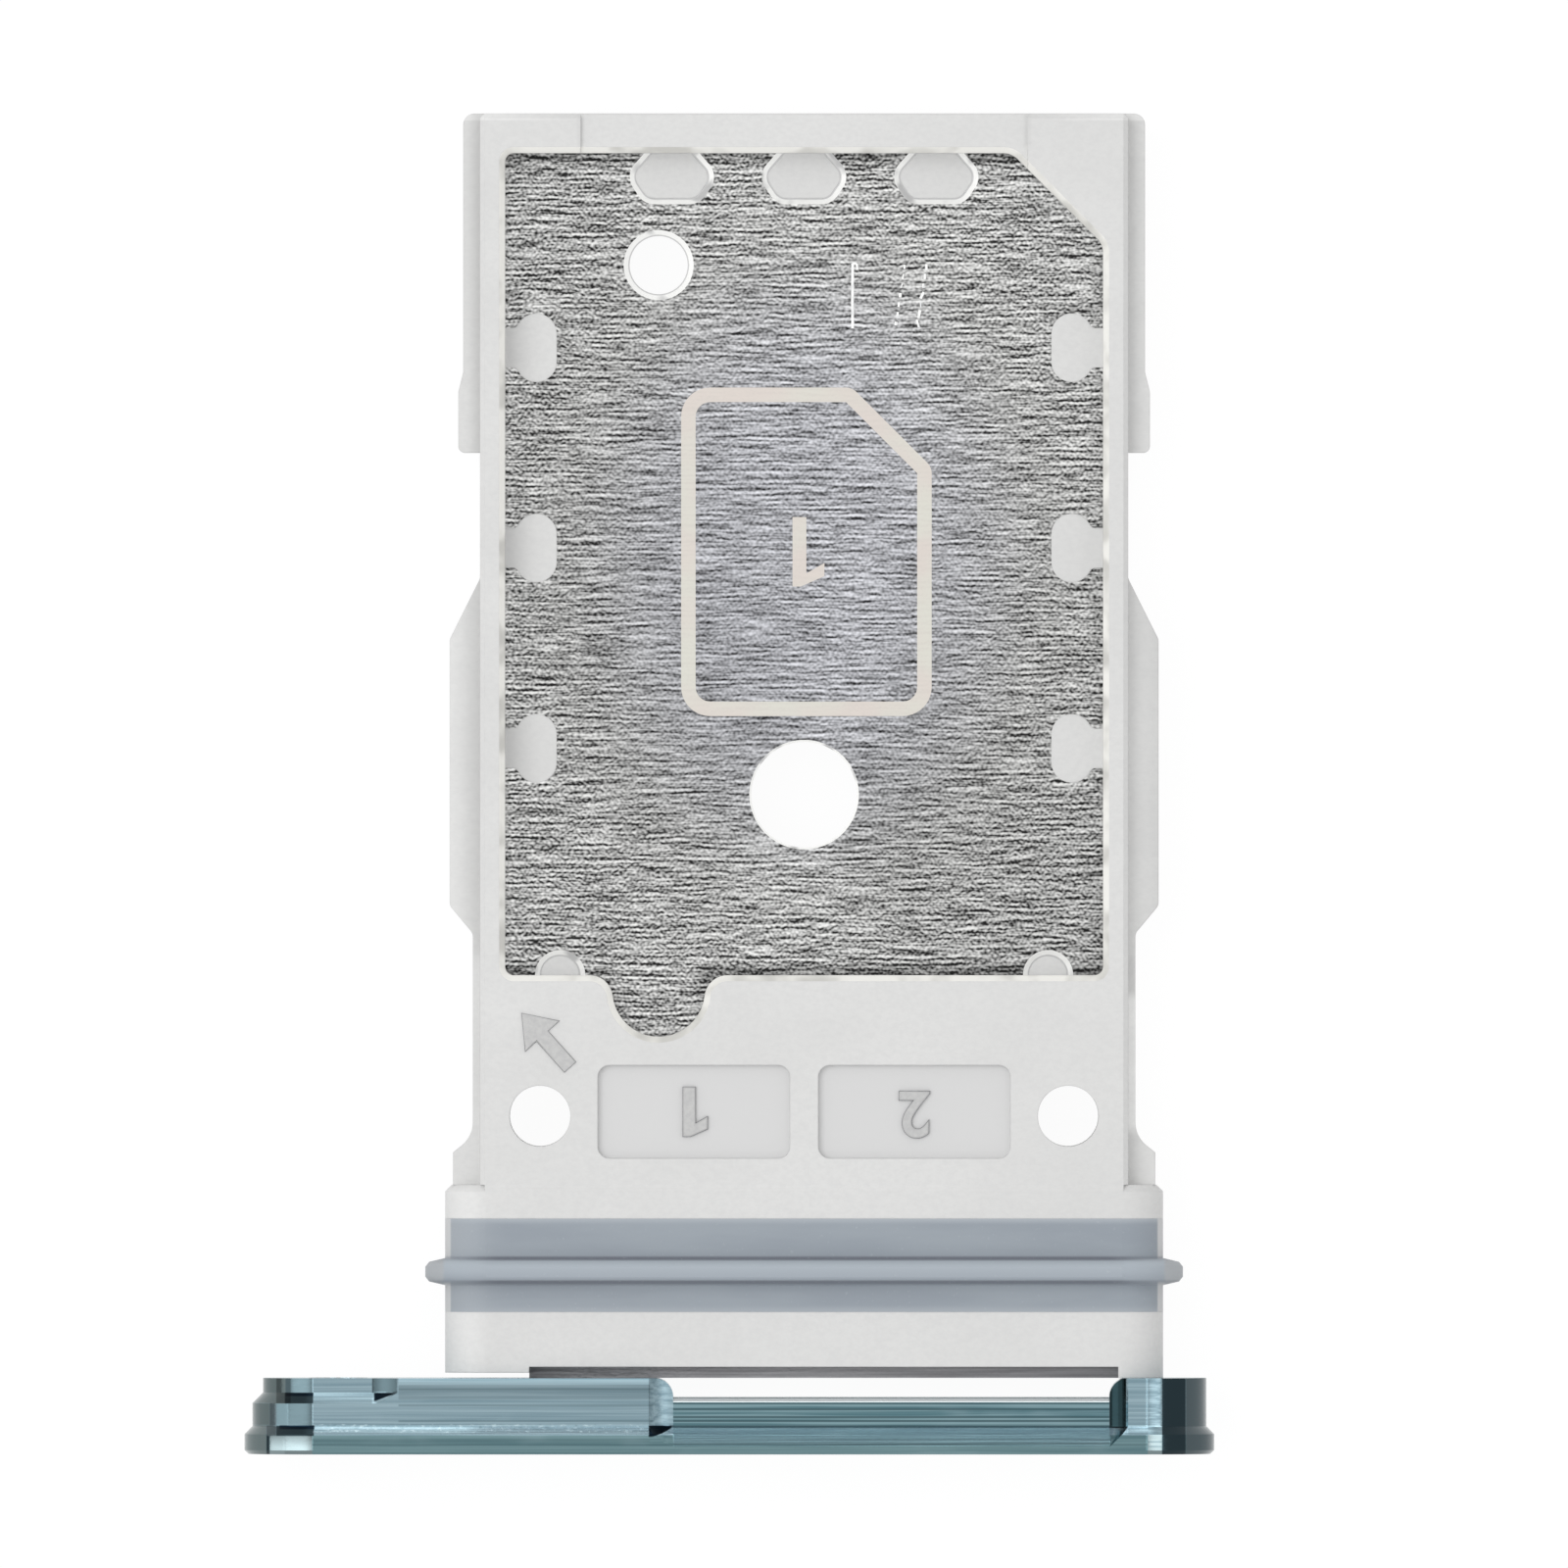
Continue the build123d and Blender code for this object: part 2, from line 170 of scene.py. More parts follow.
def add_node(tree, kind, inputs, **settings):
    """New node of one kind with its settings and inputs."""
    made = tree.nodes.new(kind)
    for name, setting in settings.items():
        setattr(made, name, setting)
    set_inputs(tree, made, inputs)
    return made


def place_on(tree):
    """Place on the object, in metres."""
    return add_node(tree, "ShaderNodeTexCoord", {}).outputs["Object"]


def grain(tree, place, cell, detail=0.0, shift=(0, 0, 0)):
    """Cloudy pattern from 0 to 1 whose cells have the given size in millimetres along X, Y and Z."""
    scale = [1 / (size * MM) for size in cell]
    spread = add_node(tree, "ShaderNodeMapping", {"Vector": place, "Scale": scale, "Location": shift})
    cloud = {"Vector": spread.outputs[0], "Scale": 1.0, "Detail": detail, "Roughness": 0.6}
    return add_node(tree, "ShaderNodeTexNoise", cloud).outputs[0]


def sums(tree, operation, *terms):
    """Result of one arithmetic step."""
    return add_node(tree, "ShaderNodeMath", dict(enumerate(terms)), operation=operation).outputs[0]


def from_range(tree, value, low, high, start=0.0, end=1.0):
    """The value moved smoothly from one range to another, and held at its ends."""
    limits = {"Value": value, "From Min": low, "From Max": high, "To Min": start, "To Max": end}
    return add_node(tree, "ShaderNodeMapRange", limits, interpolation_type="SMOOTHSTEP").outputs[0]


def mixed(tree, share, first, second, way="MIX"):
    """Two colours mixed by a share."""
    inputs = {0: share, 6: first, 7: second}
    return add_node(tree, "ShaderNodeMix", inputs, data_type="RGBA", blend_type=way).outputs[2]


def shades(tree, value, low, high, first, second):
    """Colour between two screen colours, by where a value lies in a range."""
    return mixed(tree, from_range(tree, value, low, high), screen_colour(*first), screen_colour(*second))


def axes(tree, vector):
    """X, Y and Z of a vector."""
    return add_node(tree, "ShaderNodeSeparateXYZ", {0: vector}).outputs


def between(tree, value, low, high, edge):
    """One inside a range and zero outside it, with a soft edge."""
    rise = from_range(tree, value, low - edge / 2, low + edge / 2)
    fall = from_range(tree, value, high - edge / 2, high + edge / 2, 1.0, 0.0)
    return sums(tree, "MULTIPLY", rise, fall)


def relief(tree, shader, height, depth):
    """Bump of the given depth in millimetres on a shader."""
    bump = add_node(tree, "ShaderNodeBump", {"Height": height, "Distance": depth * MM, "Strength": 1.0})
    set_inputs(tree, shader, {"Normal": bump.outputs[0]})
    return bump


def toned(tree, share, colour, level):
    """The colour made lighter or darker by a level, where the share is one."""
    return mixed(tree, share, colour, (level, level, level, 1.0), "MULTIPLY")


def both(tree, first, second):
    """One where both shares are one, and zero where either is."""
    return sums(tree, "MULTIPLY", first, second)


def facing(tree):
    """Direction in which the flat face under a point looks."""
    return add_node(tree, "ShaderNodeNewGeometry", {}).outputs["True Normal"]


def pocket_rim(tree, place):
    """One on the bevel round the upper card pocket, and zero elsewhere."""
    across, along, up = axes(tree, place)
    half_width = pocket_half_width + rim_reach
    notch_end = pocket_near - notch_depth
    inside_x = between(tree, across, tray_middle - half_width, tray_middle + half_width, hair_line)
    inside_y = between(tree, along, notch_end - rim_reach, pocket_far + rim_reach, hair_line)
    tilted = from_range(tree, axes(tree, facing(tree))[2], 0.95, 0.85)
    raised = from_range(tree, up, rim_foot, rim_clear)
    return both(tree, both(tree, inside_x, inside_y), both(tree, tilted, raised))


def painted_light_on_plastic(tree, place, colour):
    """Plastic colour with painted light and shade on the wings, ledges, neck, shoulders, step and far edge.
    """
    across, along, up = axes(tree, place)
    from_middle = sums(tree, "SUBTRACT", across, tray_middle)
    out = sums(tree, "ABSOLUTE", from_middle)
    left_side = -body_half_width
    sunk = between(tree, up, panel_floor - hair_line, panel_floor + hair_line, hair_line / 2)
    in_panel = both(tree, sunk, between(tree, along, panel_near, panel_far, hair_line))
    colour = mixed(tree, in_panel, colour, screen_colour(216, 216, 216))
    on_rail = between(tree, up, rail_face - fade, rail_face + fade, fade)
    # Painted light and shade across the wings, darker near the wall on the left and towards the outer edge on
    # the right
    left_wing = from_range(tree, from_middle, left_side - wing_reach, left_side, *left_wing_tones)
    wing_tip = body_half_width + wing_reach
    right_wing = from_range(tree, from_middle, body_half_width, wing_tip, *right_wing_tones)
    wing_tone = mixed(tree, from_range(tree, from_middle, -fade, fade), left_wing, right_wing)
    on_wing = both(tree, on_rail, between(tree, along, wing_near, wing_far, 2 * fade))
    colour = mixed(tree, on_wing, colour, wing_tone, "MULTIPLY")
    # Painted light on the right ledge beside the body
    on_ledge = both(tree, on_rail, between(tree, along, ledge_near, ledge_far, 2 * fade))
    on_ledge = both(tree, on_ledge, from_range(tree, from_middle, 0, body_half_width))
    colour = toned(tree, on_ledge, colour, ledge_tone)
    # Painted light on the left end of the neck
    on_neck = from_range(tree, along, neck_far, neck_far - fade)
    neck_left = both(tree, on_neck, from_range(tree, from_middle, neck_light_start, neck_light_full))
    colour = toned(tree, neck_left, colour, neck_tone)
    # Painted shade on the left shoulder, darkest against the body's wall
    on_shoulder = both(tree, on_rail, from_range(tree, along, wing_far, wing_far + 3 * fade))
    on_shoulder = both(tree, on_shoulder, from_range(tree, from_middle, 0, left_side))
    shoulder_tone = from_range(tree, from_middle, left_side - shoulder_reach, left_side, *shoulder_tones)
    colour = mixed(tree, on_shoulder, colour, shoulder_tone, "MULTIPLY")
    # Painted shade along the shallow step of the lead-in
    past_pocket = from_range(tree, along, pocket_far + hair_line, pocket_far + step_fade)
    step_near = lead_in_half_width - step_half_width
    step_far = lead_in_half_width + step_half_width
    step_line = both(tree, between(tree, out, step_near, step_far, 3 * hair_line), past_pocket)
    colour = toned(tree, step_line, colour, step_tone)
    # Painted light on the bevel of the far end
    far_edge = from_range(tree, along, tip_bevel_start, tip_bevel_full)
    far_edge = both(tree, far_edge, from_range(tree, out, lead_in_half_width, body_half_width))
    return toned(tree, far_edge, colour, tip_tone)


def soft_edges(tree, place):
    """Normals with softly rounded edges, but not at the shallow steps of the neck and of the lead-in."""
    across, along, up = axes(tree, place)
    out = sums(tree, "ABSOLUTE", sums(tree, "SUBTRACT", across, tray_middle))
    at_neck = between(tree, along, neck_far - 3 * hair_line, neck_far + 3 * hair_line, hair_line)
    at_neck = both(tree, at_neck, from_range(tree, out, body_half_width, body_half_width - fade))
    reach = step_half_width + hair_line
    at_step = between(tree, out, lead_in_half_width - reach, lead_in_half_width + reach, hair_line)
    at_step = both(tree, at_step, from_range(tree, along, pocket_far, pocket_far + step_fade))
    shallow = sums(tree, "MAXIMUM", at_neck, at_step)
    radius = sums(tree, "MULTIPLY_ADD", shallow, -edge_radius, edge_radius)
    return add_node(tree, "ShaderNodeBevel", {"Radius": radius}, samples=6).outputs[0]


def white_plastic():
    """Fine matt white plastic, with a painted highlight on the bevel round the card pocket."""
    material, tree, shader = new_finish("white_plastic")
    place = place_on(tree)
    flow = grain(tree, place, (3.4, 2.1, 2.0), 3.0)
    specks = grain(tree, place, (0.09, 0.07, 0.09), 2.0)
    plain = shades(tree, flow, 0.3, 0.7, (219, 219, 218), (224, 224, 223))
    speckled_share = from_range(tree, specks, 0.25, 0.8, 0.0, 0.35)
    speckled = mixed(tree, speckled_share, plain, screen_colour(208, 208, 208))
    # Painted highlight on the bevel round the card pocket, uneven along it
    rim_light_grain = grain(tree, place, (0.7, 0.7, 0.7), 2.0)
    rim_highlight = shades(tree, rim_light_grain, 0.32, 0.55, (212, 211, 206), (248, 247, 242))
    colour = mixed(tree, pocket_rim(tree, place), speckled, rim_highlight)
    colour = painted_light_on_plastic(tree, place, colour)
    rough = from_range(tree, specks, 0.2, 0.8, 0.42, 0.6)
    set_inputs(tree, shader, {"Base Color": colour, "Roughness": rough, "IOR": 1.46})
    bump = relief(tree, shader, specks, depth=0.0016)
    set_inputs(tree, bump, {"Normal": soft_edges(tree, place)})
    return material


def fill_neck_corner(piece):
    """Closes the fine groove between the tray's body and its neck, on both sides, with a gentle slope."""
    skin = bmesh.new()
    skin.from_mesh(piece.data)
    middle_height = (frame_low.z + frame_high.z) / 2
    half_width = body_half_width - body_bevel
    rise = frame_top - middle_height
    section = [
        (neck_far, rise),
        (neck_far - neck_bevel, rise + neck_rise),
        (neck_far, rise + neck_rise - neck_bevel),
    ]
    for side in (-1, 1):
        ends = []
        for x in (tray_middle - half_width, tray_middle + half_width):
            ends.append([skin.verts.new((x, y, middle_height + side * height)) for y, height in section])
        left, right = ends
        filling = [skin.faces.new(left), skin.faces.new(right)]
        for n in range(3):
            following = (n + 1) % 3
            filling.append(skin.faces.new((left[n], left[following], right[following], right[n])))
        bmesh.ops.recalc_face_normals(skin, faces=filling)
    skin.to_mesh(piece.data)
    skin.free()


tray_frame = smooth_copy("tray_frame", "white_frame", frame_crease)
fill_neck_corner(tray_frame)
tray_frame.data.materials.append(white_plastic())


# Card plate
# Stamped stainless steel, brushed across the tray before it was moulded in. It is the floor of both card
# pockets. Highlights are painted on its cut edges, and its tail is painted as a dark strip of shade at the
# foot of the neck.

plate_crease = math.radians(20)
plate_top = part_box("sim_plate")[1].z
plate_middle = (pocket_near + pocket_far) / 2
pocket_half_length = (pocket_far - pocket_near) / 2
stroke_shade_offset = 0.046 * MM
steel_tone = 0.590
notch_left = -2.45 * MM
notch_right = -0.45 * MM
tail_edge = -8.2 * MM
near_shade_start = pocket_near + 0.22 * MM
near_shade_full = pocket_near + 0.06 * MM
far_shade_start = pocket_far - 0.28 * MM
far_shade_full = pocket_far - 0.08 * MM
cut_line_start = plate_top - 0.036 * MM
cut_line_full = plate_top - 0.042 * MM


def brushed_tone(tree, place):
    """Brush strokes from dark to light as seen on a screen, 0 to 1, choppier towards the plate's edges."""
    across, along, up = axes(tree, place)
    drift = grain(tree, place, (1.1, 0.5, 0.5), 1.0, (3.0, 7.0, 0.0))
    sway = sums(tree, "MULTIPLY_ADD", drift, 0.07 * MM, along)
    side = sums(tree, "DIVIDE", sums(tree, "SUBTRACT", across, tray_middle), pocket_half_width)
    end = sums(tree, "DIVIDE", sums(tree, "SUBTRACT", along, plate_middle), pocket_half_length)
    spread = sums(tree, "ADD", sums(tree, "POWER", side, 2.0), sums(tree, "POWER", end, 2.0))
    chop = from_range(tree, spread, 0.1, 1.1, 0.5, 0.7)
    sides = []
    for offset in (0.0, stroke_shade_offset):
        moved = sums(tree, "ADD", sway, offset)
        swayed = add_node(tree, "ShaderNodeCombineXYZ", {0: across, 1: moved, 2: up}).outputs[0]
        hairs = grain(tree, swayed, (0.05, 0.034, 0.05), 0.0)
        scratches = grain(tree, swayed, (0.22, 0.036, 0.05), 0.0, (11.0, 5.0, 0.0))
        strokes = grain(tree, swayed, (0.8, 0.040, 0.05), 0.0, (2.0, 9.0, 0.0))
        long_marks = sums(tree, "MULTIPLY_ADD", strokes, 0.66, sums(tree, "MULTIPLY", scratches, 0.45))
        sides.append(sums(tree, "MULTIPLY_ADD", hairs, chop, long_marks))
    # Painted shade: a copy of the strokes set a little aside is taken away, leaving a dark line beside each
    # bright one
    marks = sums(tree, "SUBTRACT", sides[0], sums(tree, "MULTIPLY", sides[1], 0.3))
    level = sums(tree, "MULTIPLY_ADD", chop, 0.35, 0.3885)
    strength = from_range(tree, spread, 0.1, 1.1, 0.92, 1.26)
    # Painted shade along the near pocket wall, except at the finger notch, and along the far wall
    near_wall = from_range(tree, along, near_shade_start, near_shade_full)
    near_notch = between(tree, across, notch_left, notch_right, 3 * fade)
    by_near_wall = both(tree, near_wall, sums(tree, "SUBTRACT", 1.0, near_notch))
    by_far_wall = from_range(tree, along, far_shade_start, far_shade_full, 0.0, 0.6)
    walled = sums(tree, "MAXIMUM", by_near_wall, by_far_wall)
    mean = sums(tree, "MULTIPLY_ADD", walled, -0.17, steel_tone)
    # Painted light along the plate's left edge, and a little painted shade along its right edge
    mean = sums(tree, "ADD", mean, from_range(tree, side, -0.95, -0.99, 0.0, 0.09))
    mean = sums(tree, "ADD", mean, from_range(tree, side, 0.96, 0.99, 0.0, -0.02))
    contrast = sums(tree, "MULTIPLY", sums(tree, "SUBTRACT", marks, level), strength)
    deeper = sums(tree, "MULTIPLY_ADD", sums(tree, "MULTIPLY", contrast, contrast), -0.8, contrast)
    return sums(tree, "ADD", deeper, mean), spread


def brushed_steel():
    """Steel brushed across the tray, faintly blue in the middle, cut edges and tail in painted light and
    shade.
    """
    material, tree, shader = new_finish("brushed_steel")
    place = place_on(tree)
    tone, spread = brushed_tone(tree, place)
    held = sums(tree, "MINIMUM", sums(tree, "MAXIMUM", tone, 0.16), 0.98)
    linear = sums(tree, "POWER", held, 2.2)
    cool = (0.98, 0.99, 1.05, 1.0)
    warm = (1.0, 1.0, 0.985, 1.0)
    tint = mixed(tree, from_range(tree, spread, 0.05, 0.7), cool, warm)
    steel = mixed(tree, 1.0, tint, linear, "MULTIPLY")
    across, along, up = axes(tree, place)
    # Painted shade: the tail at the foot of the neck is painted dark grey
    tail = from_range(tree, along, tail_edge, tail_edge - fade)
    rolled = grain(tree, place, (2.4, 0.05, 0.05), 1.0)
    tail_shade = shades(tree, rolled, 0.25, 0.75, (118, 118, 120), (140, 140, 142))
    steel_with_tail_shade = mixed(tree, tail, steel, tail_shade)
    # Painted highlight on the sloped cut edges, paler and less metallic than the flats
    slope = sums(tree, "ABSOLUTE", axes(tree, facing(tree))[2])
    sheared = from_range(tree, slope, 0.96, 0.90)
    cut_line = from_range(tree, up, cut_line_start, cut_line_full)
    uneven = grain(tree, place, (0.35, 0.35, 0.35), 1.0)
    edge_highlight = shades(tree, uneven, 0.30, 0.48, (196, 196, 196), (252, 252, 250))
    painted_cut_edge = mixed(tree, cut_line, edge_highlight, screen_colour(206, 206, 206))
    colour = mixed(tree, sheared, steel_with_tail_shade, painted_cut_edge)
    metal = sums(tree, "MULTIPLY_ADD", sheared, -0.85, 1.0)
    rough = from_range(tree, tone, 0.3, 0.9, 0.46, 0.32)
    set_inputs(tree, shader, {"Base Color": colour, "Metallic": metal})
    set_inputs(tree, shader, {"Anisotropic": 0.5, "Roughness": rough})
    relief(tree, shader, tone, depth=0.0012)
    return material


card_plate = smooth_copy("sim_plate", "card_plate", plate_crease)
card_plate.data.materials.append(brushed_steel())


# Printed card sign
# Cream ink, pad printed on the plate in one thin film: the outline of a card with one cut corner, and the
# number of the pocket, which reads from the tray's far end.

ink_thickness = 0.008 * MM
ink_sink = 0.002 * MM
ink_line = 0.22 * MM
sign_width = 3.79 * MM
sign_length = 4.97 * MM
sign_corner_cut = 1.14 * MM
sign_corner_radius = 0.33 * MM
sign_cut_radius = 0.12 * MM
sign_middle = Vector((tray_middle + 0.035 * MM, 3.509 * MM, plate_top - ink_sink + ink_thickness / 2))
sign_number_height = 1.05 * MM


def cream_ink():
    """Matt cream ink with the brush strokes of the steel showing faintly through it."""
    material, tree, shader = new_finish("cream_ink")
    place = place_on(tree)
    tone, spread = brushed_tone(tree, place)
    cloud = grain(tree, place, (1.4, 1.1, 1.0), 2.0)
    ink = shades(tree, cloud, 0.35, 0.65, (222, 213, 206), (221, 220, 210))
    colour = mixed(tree, from_range(tree, tone, 0.25, 0.75, 0.3, 0.0), ink, screen_colour(206, 200, 194))
    set_inputs(tree, shader, {"Base Color": colour, "Roughness": 0.55})
    relief(tree, shader, tone, depth=0.0006)
    return material


def new_tree(name, sizes):
    """Geometry tree with a mesh in and out, and one named length input for each size."""
    tree = bpy.data.node_groups.new(name, "GeometryNodeTree")
    tree.interface.new_socket("Geometry", in_out="INPUT", socket_type="NodeSocketGeometry")
    tree.interface.new_socket("Geometry", in_out="OUTPUT", socket_type="NodeSocketGeometry")
    for size in sizes:
        tree.interface.new_socket(size, in_out="INPUT", socket_type="NodeSocketFloat")
    return tree, add_node(tree, "NodeGroupInput", {}), add_node(tree, "NodeGroupOutput", {})


def finished_mesh(piece):
    """New plain mesh of an object as its modifiers or its curve settings leave it."""
    bpy.context.view_layer.update()
    evaluated = piece.evaluated_get(bpy.context.evaluated_depsgraph_get())
    return bpy.data.meshes.new_from_object(evaluated)


def made_by(tree, piece, sizes):
    """Runs a geometry tree on a piece with the given sizes, and keeps the result as its plain mesh."""
    modifier = piece.modifiers.new("maker", "NODES")
    modifier.node_group = tree
    for item in tree.interface.items_tree:
        if item.in_out == "INPUT" and item.name in sizes:
            modifier[item.identifier] = sizes[item.name]
    mesh = finished_mesh(piece)
    mesh.name = piece.name
    piece.modifiers.remove(modifier)
    piece.data = mesh


def loop_piece(name, points):
    """New object whose mesh is one closed loop of edges through the points."""
    mesh = bpy.data.meshes.new(name)
    edges = [(n, (n + 1) % len(points)) for n in range(len(points))]
    mesh.from_pydata(points, edges, [])
    piece = linked(name, mesh)
    return piece


def line_tree(material):
    """Tree that rounds the corners of a flat loop and lays a flat line of ink along it."""
    tree, given, result = new_tree("ink_line_along_loop", ["Line width", "Line thickness"])
    path = add_node(tree, "GeometryNodeMeshToCurve", {0: given.outputs["Geometry"]})
    radius = add_node(tree, "GeometryNodeInputNamedAttribute", {"Name": "corner_radius"}, data_type="FLOAT")
    rounding = {"Curve": path.outputs[0], "Radius": radius.outputs[0], "Count": 10, "Limit Radius": True}
    rounded = add_node(tree, "GeometryNodeFilletCurve", rounding, mode="POLY")
    upright = add_node(tree, "GeometryNodeSetCurveNormal", {0: rounded.outputs[0]}, mode="Z_UP")
    widths = {"Width": given.outputs["Line width"], "Height": given.outputs["Line thickness"]}
    section = add_node(tree, "GeometryNodeCurvePrimitiveQuadrilateral", widths)
    swept = add_node(tree, "GeometryNodeCurveToMesh", {0: upright.outputs[0], 1: section.outputs[0]})
    whole = add_node(tree, "GeometryNodeRealizeInstances", {0: swept.outputs[0]})
    painted = add_node(tree, "GeometryNodeSetMaterial", {0: whole.outputs[0], "Material": material})
    set_inputs(tree, result, {0: painted.outputs[0]})
    return tree


ink = cream_ink()
half_width = (sign_width - ink_line) / 2
half_length = (sign_length - ink_line) / 2
sign_corners = [
    (-half_width, -half_length, sign_corner_radius),
    (half_width, -half_length, sign_corner_radius),
    (half_width, half_length - sign_corner_cut, sign_cut_radius),
    (half_width - sign_corner_cut, half_length, sign_cut_radius),
    (-half_width, half_length, sign_corner_radius),
]
sign_points = [sign_middle + Vector((x, y, 0)) for x, y, radius in sign_corners]
card_sign = loop_piece("printed_card_outline", sign_points)
corner_radii = card_sign.data.attributes.new("corner_radius", "FLOAT", "POINT")
corner_radii.data.foreach_set("value", [radius for x, y, radius in sign_corners])
made_by(line_tree(ink), card_sign, {"Line width": ink_line, "Line thickness": ink_thickness})
card_sign.data.polygons.foreach_set("use_smooth", [False] * len(card_sign.data.polygons))
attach(card_sign, "root")


def mesh_piece(name, source, place, material):
    """Turns a text or a flat curve into a mesh piece, sets it in place and gives it a material."""
    maker = linked(name + "_maker", source)
    mesh = finished_mesh(maker)
    bpy.data.objects.remove(maker)
    mesh.transform(place)
    mesh.materials.clear()
    mesh.materials.append(material)
    skin = bmesh.new()
    skin.from_mesh(mesh)
    bmesh.ops.remove_doubles(skin, verts=skin.verts, dist=skin_merge)
    bmesh.ops.recalc_face_normals(skin, faces=skin.faces)
    skin.to_mesh(mesh)
    skin.free()
    piece = linked(name, mesh)
    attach(piece, "root")
    return piece


def outline_shape(name, points, thickness, bevel):
    """Flat shape inside a closed outline, with a bevelled edge."""
    shape = bpy.data.curves.new(name, "CURVE")
    shape.dimensions = "2D"
    shape.fill_mode = "BOTH"
    shape.extrude = thickness / 2 - bevel
    shape.bevel_depth = bevel
    shape.bevel_resolution = 1
    line = shape.splines.new("POLY")
    line.points.add(len(points) - 1)
    for point, (x, y) in zip(line.points, points):
        point.co = (x, y, 0, 1)
    line.use_cyclic_u = True
    return shape


def figure_one(height, thickness, bevel):
    """Plain figure one: a stem with a slanted flag."""
    stem = 0.20 * height
    flag_reach = 0.26 * height
    flag_fall = 0.15 * height
    flag_width = 0.19 * height
    top = height / 2
    points = [
        (stem, -top),
        (stem, top),
        (0.4 * stem, top),
        (-flag_reach, top - flag_fall),
        (-flag_reach, top - flag_fall - flag_width),
        (0, top - flag_width),
        (0, -top),
    ]
    return outline_shape("figure_one", points, thickness, bevel)


half_turn = Matrix.Rotation(math.pi, 4, "Z")
sign_number = mesh_piece(
    "printed_pocket_number",
    figure_one(sign_number_height, ink_thickness, 0.0),
    Matrix.Translation(sign_middle) @ half_turn,
    ink,
)


# Stamped setting strokes
# Three plain strokes pressed into the plate by the stamping tool near its far end, one whole and two broken,
# whose raised burrs catch the light.

stroke_length = 1.0 * MM
stroke_width = 0.042 * MM
stroke_hook = 0.085 * MM
dash_width = 0.034 * MM
stroke_height = 0.012 * MM
stroke_middle_y = 7.39 * MM
whole_stroke_x = 1.863 * MM
# Place across, share of gaps and seed of each broken stroke
broken_strokes = ((2.52 * MM, 0.5, 11), (2.85 * MM, 0.2, 16))
dash_count = 7
dash_lean = 0.15
dash_wander = 0.5


def stroke_piece(name, x, gap_share, seed, material):
    """Leaning row of raised dashes, each a little out of line, made by repeating one dash."""
    sizes = ["Pitch", "Lean", "Dash length", "Dash width", "Dash height"]
    tree, given, result = new_tree(name + "_dashes", sizes)
    count = add_node(tree, "FunctionNodeInputInt", {}, integer=dash_count)
    step = add_node(tree, "ShaderNodeCombineXYZ", {0: given.outputs["Lean"], 1: given.outputs["Pitch"]})
    row = add_node(tree, "GeometryNodeMeshLine", {"Count": count.outputs[0], "Offset": step.outputs[0]})
    size = {0: given.outputs["Dash width"], 1: given.outputs["Dash length"], 2: given.outputs["Dash height"]}
    dash_size = add_node(tree, "ShaderNodeCombineXYZ", size)
    dash = add_node(tree, "GeometryNodeMeshCube", {"Size": dash_size.outputs[0]})
    turns = {0: (0, 0, -dash_wander), 1: (0, 0, dash_wander), "Seed": seed}
    turn = add_node(tree, "FunctionNodeRandomValue", turns, data_type="FLOAT_VECTOR")
    scales = {0: (0.6, 0.55, 1.0), 1: (1.2, 1.15, 1.0), "Seed": seed + 1}
    scale = add_node(tree, "FunctionNodeRandomValue", scales, data_type="FLOAT_VECTOR")
    placing = {"Points": row.outputs[0], "Instance": dash.outputs[0], "Rotation": turn.outputs[0]}
    placed = add_node(tree, "GeometryNodeInstanceOnPoints", {**placing, "Scale": scale.outputs[0]})
    whole = add_node(tree, "GeometryNodeRealizeInstances", {0: placed.outputs[0]})
    painted = add_node(tree, "GeometryNodeSetMaterial", {0: whole.outputs[0], "Material": material})
    set_inputs(tree, result, {0: painted.outputs[0]})
    piece = linked(name, bpy.data.meshes.new(name))
    pitch = stroke_length / dash_count
    sizes = {
        "Pitch": pitch,
        "Lean": pitch * dash_lean,
        "Dash length": pitch * (1 - gap_share),
        "Dash width": dash_width,
        "Dash height": stroke_height,
    }
    made_by(tree, piece, sizes)
    start = Vector((x, stroke_middle_y - stroke_length / 2 + pitch / 2, plate_top + stroke_height / 4))
    piece.data.transform(Matrix.Translation(start))
    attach(piece, "root")


def hooked_stroke():
    """Outline of one thin stroke whose top end bends over into a small hook."""
    half = stroke_width / 2
    top = stroke_length / 2
    points = [
        (-half, -top),
        (-half, top - 0.3 * stroke_hook),
        (0.2 * stroke_hook, top),
        (0.6 * stroke_hook, top),
        (stroke_hook, top - 0.4 * stroke_hook),
        (stroke_hook, top - 1.3 * stroke_hook),
        (0.7 * stroke_hook, top - 1.3 * stroke_hook),
        (0.6 * stroke_hook, top - 0.6 * stroke_hook),
        (0.4 * stroke_hook, top - 0.4 * stroke_hook),
        (half, top - 0.6 * stroke_hook),
        (half, -top),
    ]
    return outline_shape("hooked_stroke", points, stroke_height, 0.0)


def burr_steel():
    """Bright steel burr with fine drag marks."""
    material, tree, shader = new_finish("burr_steel")
    place = place_on(tree)
    drag = grain(tree, place, (0.03, 0.12, 0.05), 2.0)
    colour = shades(tree, drag, 0.3, 0.7, (214, 215, 216), (250, 250, 248))
    set_inputs(tree, shader, {"Base Color": colour, "Metallic": 1.0, "Roughness": 0.3})
    relief(tree, shader, drag, depth=0.002)
    return material


